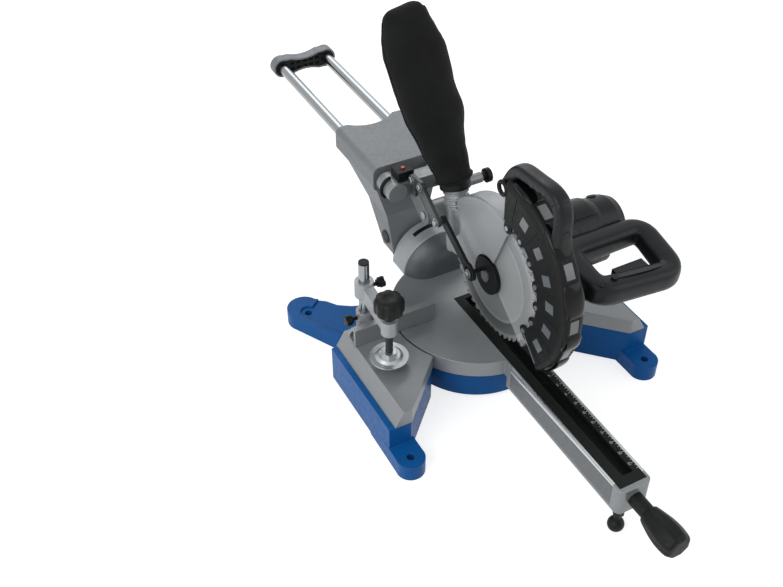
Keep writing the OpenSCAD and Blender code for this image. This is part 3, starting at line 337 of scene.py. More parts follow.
@dataclass
class Workshop:
    """Makes pieces from skins and hangs them on the bodies of the frame."""

    materials: dict[Slot, Material]

    def piece(self, name: str, body: str, slot: Slot, skin: Skin, replaces: Sequence[str] = (),
              material: Material | None = None, bevel: float = 0.0, levels: int = 0,
              smooth: float = 40.0) -> bpy.types.Object:
        """Makes one piece.

        Args:
            name: Name of the piece.
            body: The body that it rides on.
            slot: The record's material slot.
            skin: Its mesh.
            replaces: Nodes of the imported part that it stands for.
            material: A finish other than the slot's own.
            bevel: Width of its rounded edges in millimetres.
            levels: Subdivision levels.
            smooth: Edges flatter than this many degrees are shaded smooth.

        Returns:
            The object.
        """
        mesh = bpy.data.meshes.new(name)
        mesh.from_pydata(skin.verts, [], skin.faces)
        work = bmesh.new()
        work.from_mesh(mesh)
        bmesh.ops.recalc_face_normals(work, faces=work.faces)
        work.to_mesh(mesh)
        work.free()
        mesh.materials.append(material or self.materials[slot])
        for face in mesh.polygons:
            face.use_smooth = True
        mesh.set_sharp_from_angle(angle=math.radians(smooth))
        made = place(name, mesh)
        if bevel:
            edge = made.modifiers.new("edges", "BEVEL")
            edge.width, edge.segments, edge.limit_method = bevel * MM, 2, "ANGLE"
            edge.angle_limit = math.radians(35)
        if levels:
            fine = made.modifiers.new("fine", "SUBSURF")
            fine.levels = fine.render_levels = levels
        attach(made, body)
        if replaces:
            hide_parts(*replaces)
        log.info("%s on %s: %d faces", name, body, len(mesh.polygons))
        return made


# Finishes


def linear(colour: str) -> tuple[float, float, float, float]:
    """Turns an sRGB hex colour into linear light.

    Args:
        colour: Six hex digits after a hash sign.

    Returns:
        Red, green, blue and alpha.
    """
    parts = [int(colour[i:i + 2], 16) / 255 for i in (1, 3, 5)]
    r, g, b = (c / 12.92 if c <= 0.04045 else ((c + 0.055) / 1.055) ** 2.4 for c in parts)
    return r, g, b, 1.0


def add_node(tree: Tree, kind: str, settings: dict[Any, Any] | None = None,
             links: dict[Any, Socket] | None = None) -> bpy.types.Node:
    """Adds one node.

    Args:
        tree: The node tree.
        kind: The shader node's type name, without what all of them start with.
        settings: Values for its properties, or for its inputs by name or number.
        links: Output sockets for its inputs by name or number.

    Returns:
        The node.
    """
    made = tree.nodes.new(f"ShaderNode{kind}")
    for key, value in (settings or {}).items():
        if isinstance(key, str) and hasattr(made, key):
            setattr(made, key, value)
        else:
            made.inputs[key].default_value = value
    for key, source in (links or {}).items():
        tree.links.new(source, made.inputs[key])
    return made


def per_mm(size: float) -> float:
    """Gives the texture scale for a pattern of this size in millimetres."""
    return 1 / (size * MM)


@dataclass(frozen=True)
class Finish:
    """What every finish has: its name, its colour and the constants of its surface."""

    name: str
    colour: str
    rough: float
    metallic: float = 0.0
    constants: tuple[tuple[str, float], ...] = ()

    def build(self) -> Material:
        """Makes the material."""
        made = bpy.data.materials.new(self.name)
        made.use_nodes = True
        tree = made.node_tree
        shader = tree.nodes["Principled BSDF"]
        shader.inputs["Base Color"].default_value = linear(self.colour)
        shader.inputs["Roughness"].default_value = self.rough
        shader.inputs["Metallic"].default_value = self.metallic
        for key, value in self.constants:
            shader.inputs[key].default_value = value
        made.diffuse_color = linear(self.colour)
        where = add_node(tree, "TexCoord").outputs["Object"]
        for key, source in self.shade(tree, where).items():
            tree.links.new(source, shader.inputs[key])
        return made

    def shade(self, tree: Tree, where: Socket) -> dict[str, Socket]:
        """Adds the pattern of the finish; a subclass says which.

        Args:
            tree: The material's node tree.
            where: The point on the piece.

        Returns:
            Sockets for the inputs of the surface shader.
        """
        raise NotImplementedError


@dataclass(frozen=True)
class Coated(Finish):
    """A painted casting or a moulding: cloudy tone, fine grain, softened and rubbed edges."""

    tone: str = "#808080"
    cloud: float = 35.0
    grain: float = 1.2
    depth: float = 0.02
    edge: float = 1.2
    rubbed: str = "#A0A0A0"
    rub: float = 0.35
    bends: Pair = (0.985, 0.86)
    scuff: float = 6.0
    spread: float = 0.08

    def shade(self, tree: Tree, where: Socket) -> dict[str, Socket]:
        """Adds the cloudy tone, the grain and the edges.

        Args:
            tree: The material's node tree.
            where: The point on the piece.

        Returns:
            Sockets for the inputs of the surface shader.
        """
        cloud = add_node(tree, "TexNoise",
                         {"Scale": per_mm(self.cloud), "Detail": 4.0, "Roughness": 0.6}, {"Vector": where})
        toned = add_node(tree, "Mix",
                         {"data_type": "RGBA", 6: linear(self.colour), 7: linear(self.tone)},
                         {0: cloud.outputs["Fac"]})
        soft = add_node(tree, "Bevel", {"samples": 8, "Radius": self.edge * MM})
        true = add_node(tree, "NewGeometry")
        bend = add_node(tree, "VectorMath", {"operation": "DOT_PRODUCT"},
                        {0: soft.outputs["Normal"], 1: true.outputs["Normal"]})
        first, full = self.bends
        edge = add_node(tree, "MapRange", {"From Min": first, "From Max": full, "To Max": self.rub},
                        {"Value": bend.outputs["Value"]})
        scuff = add_node(tree, "TexNoise", {"Scale": per_mm(self.scuff), "Detail": 5.0},
                         {"Vector": where})
        wear = add_node(tree, "Math", {"operation": "MULTIPLY"},
                        {0: edge.outputs["Result"], 1: scuff.outputs["Fac"]})
        worn = add_node(tree, "Mix", {"data_type": "RGBA", 7: linear(self.rubbed)},
                        {0: wear.outputs["Value"], 6: toned.outputs[2]})
        low, high = max(SMOOTHEST, self.rough - self.spread), self.rough + self.spread
        gloss = add_node(tree, "MapRange", {**NOISE_BODY, "To Min": low, "To Max": high},
                         {"Value": scuff.outputs["Fac"]})
        grain = add_node(tree, "TexNoise", {"Scale": per_mm(self.grain), "Detail": 3.0},
                         {"Vector": where})
        bump = add_node(tree, "Bump", {"Strength": 0.6, "Distance": self.depth * MM},
                        {"Height": grain.outputs["Fac"], "Normal": soft.outputs["Normal"]})
        return {"Base Color": worn.outputs[2], "Roughness": gloss.outputs["Result"],
                "Normal": bump.outputs["Normal"]}


@dataclass(frozen=True)
class Drawn(Finish):
    """Ground, turned or plated metal: fine lines along one direction and faint smears."""

    lines: Point = (2.0, 2.0, 0.2)
    tone: str = "#808080"
    smear: float = 22.0
    spread: float = 0.1
    depth: float = 0.004
    edge: float = 0.4

    def shade(self, tree: Tree, where: Socket) -> dict[str, Socket]:
        """Adds the lines and the smears.

        Args:
            tree: The material's node tree.
            where: The point on the piece.

        Returns:
            Sockets for the inputs of the surface shader.
        """
        drawn_out = add_node(tree, "Mapping", {"Scale": tuple(per_mm(s) for s in self.lines)},
                             {"Vector": where})
        lines = add_node(tree, "TexNoise", {"Scale": 1.0, "Detail": 4.0},
                         {"Vector": drawn_out.outputs["Vector"]})
        smear = add_node(tree, "TexNoise", {"Scale": per_mm(self.smear), "Detail": 3.0},
                         {"Vector": where})
        toned = add_node(tree, "Mix",
                         {"data_type": "RGBA", 6: linear(self.colour), 7: linear(self.tone)},
                         {0: lines.outputs["Fac"]})
        low, high = max(SMOOTHEST, self.rough - self.spread), self.rough + self.spread
        gloss = add_node(tree, "MapRange", {**NOISE_BODY, "To Min": low, "To Max": high},
                         {"Value": smear.outputs["Fac"]})
        soft = add_node(tree, "Bevel", {"samples": 4, "Radius": self.edge * MM})
        bump = add_node(tree, "Bump", {"Strength": 0.5, "Distance": self.depth * MM},
                        {"Height": lines.outputs["Fac"], "Normal": soft.outputs["Normal"]})
        return {"Base Color": toned.outputs[2], "Roughness": gloss.outputs["Result"],
                "Normal": bump.outputs["Normal"]}


@dataclass(frozen=True)
class Ringed(Finish):
    """A ground saw blade: zones and fine rings about the arbor."""

    centre: Point = (0.0, -45.0, 186.0)
    rim: float = 105.0
    zones: tuple[tuple[float, str], ...] = ((0.0, "#A9ACAB"),)
    rings: float = 0.9
    spread: float = 0.1
    depth: float = 0.01

    def shade(self, tree: Tree, where: Socket) -> dict[str, Socket]:
        """Adds the zones and the ground rings.

        Args:
            tree: The material's node tree.
            where: The point on the piece.

        Returns:
            Sockets for the inputs of the surface shader.
        """
        flat = add_node(tree, "VectorMath", {"operation": "MULTIPLY", 1: (0, 1, 1)}, {0: where})
        centre = (0.0, self.centre[1] * MM, self.centre[2] * MM)
        off = add_node(tree, "VectorMath", {"operation": "SUBTRACT", 1: centre},
                       {0: flat.outputs["Vector"]})
        radius = add_node(tree, "VectorMath", {"operation": "LENGTH"}, {0: off.outputs["Vector"]})
        share = add_node(tree, "Math", {"operation": "DIVIDE", 1: self.rim * MM},
                         {0: radius.outputs["Value"]})
        ramp = add_node(tree, "ValToRGB", {}, {"Fac": share.outputs["Value"]})
        ramp.color_ramp.interpolation = "EASE"
        for i, (r, colour) in enumerate(self.zones):
            stop = ramp.color_ramp.elements[i] if i < 2 else ramp.color_ramp.elements.new(1.0)
            stop.position, stop.color = r / self.rim, linear(colour)
        rings = add_node(tree, "TexNoise",
                         {"noise_dimensions": "1D", "Scale": per_mm(self.rings), "Detail": 3.0},
                         {"W": radius.outputs["Value"]})
        shaded = add_node(tree, "Mix", {"data_type": "RGBA", "blend_type": "MULTIPLY", 0: 0.35},
                          {6: ramp.outputs["Color"], 7: rings.outputs["Fac"]})
        gloss = add_node(tree, "MapRange",
                         {"To Min": self.rough - self.spread, "To Max": self.rough + self.spread},
                         {"Value": rings.outputs["Fac"]})
        bump = add_node(tree, "Bump", {"Strength": 0.4, "Distance": self.depth * MM},
                        {"Height": rings.outputs["Fac"]})
        return {"Base Color": shaded.outputs[2], "Roughness": gloss.outputs["Result"],
                "Normal": bump.outputs["Normal"]}


@dataclass(frozen=True)
class Sheer(Finish):
    """Clear or smoked moulding: see-through, with faint scuffs."""

    scuff: float = 9.0
    spread: float = 0.2
    depth: float = 0.05

    def shade(self, tree: Tree, where: Socket) -> dict[str, Socket]:
        """Adds the scuffs.

        Args:
            tree: The material's node tree.
            where: The point on the piece.

        Returns:
            Sockets for the inputs of the surface shader.
        """
        marks = add_node(tree, "TexNoise",
                         {"Scale": per_mm(self.scuff), "Detail": 6.0, "Roughness": 0.7}, {"Vector": where})
        gloss = add_node(tree, "MapRange",
                         {**NOISE_PEAKS, "To Min": self.rough, "To Max": self.rough + self.spread},
                         {"Value": marks.outputs["Fac"]})
        bump = add_node(tree, "Bump", {"Strength": 0.15, "Distance": self.depth * MM},
                        {"Height": marks.outputs["Fac"]})
        return {"Roughness": gloss.outputs["Result"], "Normal": bump.outputs["Normal"]}


@dataclass(frozen=True)
class Woven(Finish):
    """Bag cloth: crossing threads, dusty folds and a soft sheen."""

    thread: float = 1.1
    turn: Point = (0.28, 0.12, 0.4)
    depth: float = 0.2
    fold: float = 30.0
    dust: str = "#3A3D3C"
    dusty: float = 0.5

    def shade(self, tree: Tree, where: Socket) -> dict[str, Socket]:
        """Adds the threads and the dust.

        Args:
            tree: The material's node tree.
            where: The point on the piece.

        Returns:
            Sockets for the inputs of the surface shader.
        """
        along = add_node(tree, "Mapping", {"Rotation": self.turn}, {"Vector": where})
        threads = {"Scale": per_mm(self.thread) / WAVE_BANDS, "Distortion": 1.5, "Detail": 2.0}
        warp, weft = (add_node(tree, "TexWave", {"bands_direction": way, **threads},
                               {"Vector": along.outputs["Vector"]}) for way in ("Z", "DIAGONAL"))
        weave = add_node(tree, "Math", {"operation": "MULTIPLY"},
                         {0: warp.outputs["Fac"], 1: weft.outputs["Fac"]})
        folds = add_node(tree, "TexNoise", {"Scale": per_mm(self.fold), "Detail": 5.0},
                         {"Vector": where})
        amount = add_node(tree, "MapRange", {**NOISE_PEAKS, "To Max": self.dusty},
                          {"Value": folds.outputs["Fac"]})
        mixed = add_node(tree, "Mix",
                         {"data_type": "RGBA", 6: linear(self.colour), 7: linear(self.dust)},
                         {0: amount.outputs["Result"]})
        bump = add_node(tree, "Bump", {"Strength": 0.7, "Distance": self.depth * MM},
                        {"Height": weave.outputs["Value"]})
        return {"Base Color": mixed.outputs[2], "Normal": bump.outputs["Normal"]}


FINISHES: dict[Slot, Finish] = {
    # Satin powder coat on a casting: even blue with a faint orange-peel skin.
    Slot.BLUE: Coated("powder_coat_blue", "#0A5596", 0.42, tone="#0F60A8", cloud=60, grain=1.8, depth=0.02,
                      rubbed="#4E94D6", rub=0.45, constants=(("Specular IOR Level", 0.15),)),
    # Sand-cast aluminium, painted silver: slightly cloudy, bright where its edges are rubbed.
    Slot.SILVER: Coated("silver_painted_casting", "#878B8E", 0.4, 0.3, tone="#95999B", cloud=45, grain=1.2,
                        depth=0.012, rubbed="#D0D4D5", rub=0.6),
    # Die-cast aluminium, painted pale grey: even, with a soft shine.
    Slot.GREY: Coated("grey_painted_casting", "#999EA1", 0.42, 0.3, tone="#A8ACAE", cloud=40, grain=1.2,
                      depth=0.012, rubbed="#C4C8CA", rub=0.45),
    # Die-cast aluminium, painted dark grey: dull, pale only where its edges are rubbed.
    Slot.DARK: Coated("dark_painted_casting", "#4E5356", 0.42, 0.2, tone="#5E6366", cloud=40, grain=1.2,
                      depth=0.015, rubbed="#8C9193", rub=0.4),
    # Glass-filled nylon, spark-eroded mould grain: matt black with pale rubbed corners.
    Slot.BLACK: Coated("moulded_nylon_black", "#0B0D0D", 0.5, tone="#121414", cloud=30, grain=1.3, depth=0.03,
                       rubbed="#414647", rub=0.3, constants=(("Specular IOR Level", 0.2),)),
    # Nylon with a satin skin: bluish black, broad highlights.
    Slot.GRIP: Coated("satin_nylon_black", "#0F1316", 0.36, tone="#161A1F", cloud=45, grain=1.5, depth=0.02,
                      rubbed="#4A5055", rub=0.25, constants=(("Specular IOR Level", 0.25),)),
    # Hard chrome on ground bar: mirror bright with the grinding lines round it.
    Slot.CHROME: Drawn("hard_chrome_ground", "#A4A8AB", 0.18, 1.0, lines=(9.0, 0.5, 9.0), tone="#8B8F92",
                       spread=0.05),
    # Turned and zinc-plated steel: softer shine with tool lines.
    Slot.STEEL: Drawn("zinc_plated_steel", "#9A9E9F", 0.4, 1.0, lines=(0.7, 5.0, 5.0), tone="#838788"),
    # Ground blade steel: lacquered body, brushed ring and a bare bright rim.
    Slot.BLADE: Ringed("ground_blade_steel", "#A9ACAB", 0.42, 0.6,
                       zones=((0, "#A0A4A4"), (70, "#ACB0B0"), (75, "#C8CBCB"), (78, "#7C8183"),
                              (92, "#989DA0"), (97, "#D2D5D6"))),
    # Polycarbonate, injection moulded: clear with light scuffs.
    Slot.CLEAR: Sheer("clear_polycarbonate", "#E9EDEE", 0.08, constants=(("IOR", 1.585), ("Alpha", 0.22))),
    # Smoked polycarbonate: grey, little seen through it; its grey is partly the tint and partly a painted
    # highlight that brightens the panes.
    Slot.SMOKE: Sheer("smoked_polycarbonate", "#787E81", 0.12, constants=(("IOR", 1.585), ("Alpha", 0.88))),
    # Woven polyester: black, dusty on the folds; the threads are drawn at 1.1 mm so that they show.
    Slot.CLOTH: Woven("woven_polyester_black", "#090A0A", 0.8, dust="#1C1E1E",
                      constants=(("Sheen Weight", 0.03), ("Sheen Roughness", 0.4),
                                 ("Specular IOR Level", 0.2))),
    # ABS from a polished mould: clear red with a sharp highlight.
    Slot.RED: Coated("gloss_abs_red", "#A01414", 0.2, tone="#B42020", cloud=6, grain=0.8, depth=0.01,
                     rubbed="#D06060", rub=0.3),
}


# The studio


@dataclass
class Studio:
    """Camera, lights and floor."""

    eye: Point = (-662.0, -971.0, 1138.0)
    azimuth: float = -28.1
    elevation: float = 41.3
    lens: float = 47.23
    sensor: float = 36.0
    lamps: tuple[tuple[str, Point, float, float], ...] = (
        ("key", (-2.0, -0.6, 1.5), 1.8, 30.0), ("fill", (1.7, -1.5, 1.5), 1.8, 12.0),
        ("rear", (0.5, 1.9, 1.7), 1.4, 12.0))
    aim: Point = (0.0, 0.0, 0.2)
    surround: Pair = (0.35, 0.95)
    floor_size: float = 40.0
    floor_glow: float = 0.75
    floor_grey: float = 0.62

    def build(self) -> None:
        """Sets up the camera, the lights, the world and the floor."""
        scene = bpy.context.scene
        scene.view_settings.view_transform = "Standard"
        az, el = math.radians(self.azimuth), math.radians(self.elevation)
        back = Vector((math.sin(az) * math.cos(el), -math.cos(az) * math.cos(el), math.sin(el)))
        data = bpy.data.cameras.new("camera")
        data.lens, data.sensor_width, data.sensor_fit = self.lens, self.sensor, "HORIZONTAL"
        camera = place("camera", data)
        camera.location = mm(*self.eye)
        camera.rotation_euler = back.to_track_quat("Z", "Y").to_euler()
        scene.camera = camera
        for lamp in self.lamps:
            self.lamp(*lamp)
        self.world()
        self.floor()
        log.info("studio ready")

    def lamp(self, name: str, at: Point, size: float, power: float) -> None:
        """Adds one soft square lamp that faces the saw.

        Args:
            name: Its name.
            at: Its place in metres.
            size: Its side in metres.
            power: Its power in watts.
        """
        data = bpy.data.lights.new(name, "AREA")
        data.size, data.energy = size, power
        lamp = place(name, data)
        lamp.location = at
        lamp.rotation_euler = (Vector(at) - Vector(self.aim)).to_track_quat("Z", "Y").to_euler()

    def seen(self, tree: Tree) -> Socket:
        """Makes the switch between rays that show the backdrop and rays that light the saw.

        Args:
            tree: The node tree.

        Returns:
            1 for rays that show it straight, mirrored or through a clear part, and 0 for the rest.
        """
        path = add_node(tree, "LightPath")
        both = add_node(tree, "Math", {"operation": "MAXIMUM"},
                        {0: path.outputs["Is Camera Ray"], 1: path.outputs["Is Glossy Ray"]})
        return add_node(tree, "Math", {"operation": "MAXIMUM"},
                        {0: both.outputs["Value"], 1: path.outputs["Is Transmission Ray"]}).outputs["Value"]

    def world(self) -> None:
        """Sets a soft white surround."""
        world = bpy.data.worlds.new("surround")
        bpy.context.scene.world = world
        world.use_nodes = True
        tree = world.node_tree
        tree.nodes.clear()
        lit, seen = self.surround
        level = add_node(tree, "MapRange", {"To Min": lit, "To Max": seen},
                         {"Value": self.seen(tree)})
        light = add_node(tree, "Background", {"Color": WHITE}, {"Strength": level.outputs["Result"]})
        add_node(tree, "OutputWorld", {}, {"Surface": light.outputs["Background"]})

    def floor(self) -> None:
        """Lays the pale floor, which keeps the saw's shadow."""
        half = self.floor_size / 2
        mesh = bpy.data.meshes.new("floor")
        corners = [(-half, -half, 0), (half, -half, 0), (half, half, 0), (-half, half, 0)]
        mesh.from_pydata(corners, [], [(0, 1, 2, 3)])
        floor = place("floor", mesh)
        # Uncoated paper roll: matt and pale, with no highlight.
        paper = bpy.data.materials.new("matt_white_paper")
        paper.use_nodes = True
        tree = paper.node_tree
        tree.nodes.clear()
        level = add_node(tree, "Math", {"operation": "MULTIPLY", 1: self.floor_glow},
                         {0: self.seen(tree)})
        glow = add_node(tree, "Emission", {"Color": WHITE}, {"Strength": level.outputs["Value"]})
        matt = add_node(tree, "BsdfDiffuse", {"Color": (*(self.floor_grey,) * 3, 1.0)})
        both = add_node(tree, "AddShader", {}, {0: glow.outputs["Emission"], 1: matt.outputs["BSDF"]})
        add_node(tree, "OutputMaterial", {}, {"Surface": both.outputs["Shader"]})
        mesh.materials.append(paper)


# Sub-assemblies


@dataclass
class Assembly:
    """A group of pieces that one workshop makes."""

    shop: Workshop

    def build(self) -> None:
        """Makes the pieces; each group says which."""
        raise NotImplementedError


@dataclass
class DustBag(Assembly):
    """Black cloth bag that stands on the dust port and sags a little.

    A station is a distance from the mouth with the half widths across and front to rear. The gathers
    are given by their depth, middle, reach and count, the creases by two depths of noise.
    """

    mouth: Point = (-4.4, 71.5, 287.6)
    lean: Point = (-0.174, 0.288, 0.942)
    length: float = 247.0
    sleeve: float = 10.0
    stations: tuple[Point, ...] = (
        (-10.0, 25.6, 25.4), (4.0, 26.0, 25.6), (26.0, 29.5, 26.5), (55.0, 35.5, 28.5), (100.0, 41.5, 32.0),
        (140.0, 43.0, 34.0), (182.0, 41.5, 32.5), (208.0, 38.8, 28.5), (228.0, 35.0, 22.0),
        (240.0, 29.5, 14.0), (247.0, 21.0, 5.0))
    square: float = 2.2
    gathers: tuple[float, float, float, int] = (0.9, 10.0, 24.0, 13)
    creases: Pair = (2.4, 1.3)
    crease_scale: Pair = (0.022, 0.017)
    fold: Pair = (1.3, 0.075)
    sway: float = 2.2
    rings: tuple[int, int] = (90, 96)
    seam: Pair = (2.4, 1.8)
    seam_run: range = range(2, 243, 3)
    hem: Pair = (5.0, 2.6)
    hem_at: float = -4.0
    held: Pair = (30.0, 14.0)
    grid: float = 5.0
    slack: float = -0.05
    droop: float = 4.5
    reach: float = 9.0
    frames: int = 20

    def widths(self, h: float) -> Pair:
        """Gives the half widths at a height along the bag.

        Args:
            h: Distance from the mouth in millimetres.

        Returns:
            Half width across and half width front to rear.
        """
        for (h0, a0, b0), (h1, a1, b1) in zip(self.stations, self.stations[1:]):
            if h <= h1:
                t = (h - h0) / (h1 - h0)
                t = t * t * (3 - 2 * t)
                return a0 + (a1 - a0) * t, b0 + (b1 - b0) * t
        return self.stations[-1][1:]

    def point(self, h: float, angle: float) -> Vector:
        """Gives a point of the creased skin.

        Args:
            h: Distance from the mouth in millimetres.
            angle: Turn about the bag.

        Returns:
            The point in metres.
        """
        axis = Vector(self.lean).normalized()
        side = Vector((1, 0, 0)) - axis * axis.x
        side.normalize()
        rear = axis.cross(side)
        a, b = self.widths(h)
        u, v = squircle(angle, 2 * a, 2 * b, self.square)
        deep, middle, reach, count = self.gathers
        ripple = math.cos(count * angle + 0.6 * math.sin(3 * angle))
        gathers = deep * math.exp(-abs(h - middle) / reach) * ripple
        around, along = self.crease_scale
        spot = Vector((u * around, v * around, h * along))
        coarse, fine = self.creases
        crease = coarse * noise.noise(spot) + fine * noise.noise(spot * 2.3 + Vector((4, 1, 7)))
        deep, rate = self.fold
        fold = deep * math.sin(rate * h + 2.2 * math.sin(angle + 0.5) + 0.8) * (1 if 40 < h < 240 else 0.4)
        keep = max(0.0, min(1.0, h / 30.0)) * min(1.0, (self.length - h) / 22.0 + 0.25)
        push = 1 + (gathers + (crease + fold) * keep) / max(a, 18.0)
        high = max(h, 0.0) / self.length
        sway = self.sway * math.sin(math.pi * high) + self.droop * high ** 3
        return (Vector(self.mouth) + axis * h + side * (u * push - sway) + rear * v * push) * MM

    def settle(self, skin: Skin) -> Skin:
        """Lets the cloth puff out and crease under a little pressure, held at the mouth.

        Args:
            skin: The pattern of the bag, drawn a little small.

        Returns:
            The creased skin.
        """
        scene = bpy.context.scene
        pattern = bpy.data.meshes.new("bag_pattern")
        pattern.from_pydata(skin.verts, [], skin.faces)
        cloth = place("bag_pattern", pattern)
        even = cloth.modifiers.new("even", "REMESH")
        even.mode, even.voxel_size = "VOXEL", self.grid * MM
        graph = bpy.context.evaluated_depsgraph_get()
        cloth.data = bpy.data.meshes.new_from_object(cloth.evaluated_get(graph))
        cloth.modifiers.clear()
        start = [v.co.copy() for v in cloth.data.vertices]
        held = cloth.vertex_groups.new(name="held")
        axis = Vector(self.lean).normalized()
        free, fade = self.held
        for v in cloth.data.vertices:
            h = (v.co / MM - Vector(self.mouth)).dot(axis)
            held.add([v.index], max(0.0, min(1.0, (free - h) / fade)), "REPLACE")
        sim = cloth.modifiers.new("cloth", "CLOTH")
        stuff = sim.settings
        stuff.quality, stuff.mass, stuff.air_damping = 6, 0.15, 2.0
        stuff.tension_stiffness = stuff.compression_stiffness = 8.0
        stuff.shear_stiffness, stuff.bending_stiffness = 4.0, 0.15
        stuff.vertex_group_mass, stuff.shrink_min = held.name, self.slack
        stuff.use_pressure, stuff.uniform_pressure_force = True, 3.0
        stuff.effector_weights.gravity = 0.0
        sim.point_cache.frame_start, sim.point_cache.frame_end = 1, self.frames
        for frame in range(1, self.frames + 1):
            scene.frame_set(frame)
        graph = bpy.context.evaluated_depsgraph_get()
        moved = cloth.evaluated_get(graph).data
        verts = []
        for before, v in zip(start, moved.vertices):
            step = v.co - before
            verts.append(before + step * min(1.0, self.reach * MM / max(step.length, 1e-9)))
        faces = [tuple(f.vertices) for f in moved.polygons]
        bpy.data.objects.remove(cloth)
        scene.frame_set(1)
        return Skin(verts, faces)

    def build(self) -> None:
        """Makes the bag and its seams."""
        span = self.length + self.sleeve
        rows, steps = self.rings
        rings = [[self.point(span * i / rows - self.sleeve, 2 * math.pi * j / steps) for j in range(steps)]
                 for i in range(rows + 1)]
        skin = Skin().add(loft(rings))
        skin = self.settle(skin)
        bag = self.shop.piece("bag_cloth", "head", Slot.CLOTH, skin, ["dust_bag"], levels=1, smooth=80)
        tree = BVHTree.FromPolygons(skin.verts, skin.faces)
        seams = Skin()
        for angle in (0.0, math.pi):
            path = [tree.find_nearest(self.point(h, angle))[0] / MM for h in self.seam_run]
            seams.add(strip(path, *self.seam, (0, 1, 0), steps=8))
        hem = [tree.find_nearest(self.point(self.hem_at, 2 * math.pi * j / 48))[0] / MM for j in range(49)]
        seams.add(strip(hem, *self.hem, self.lean, 3.0))
        self.shop.piece("bag_seams", "head", Slot.CLOTH, seams, smooth=60)


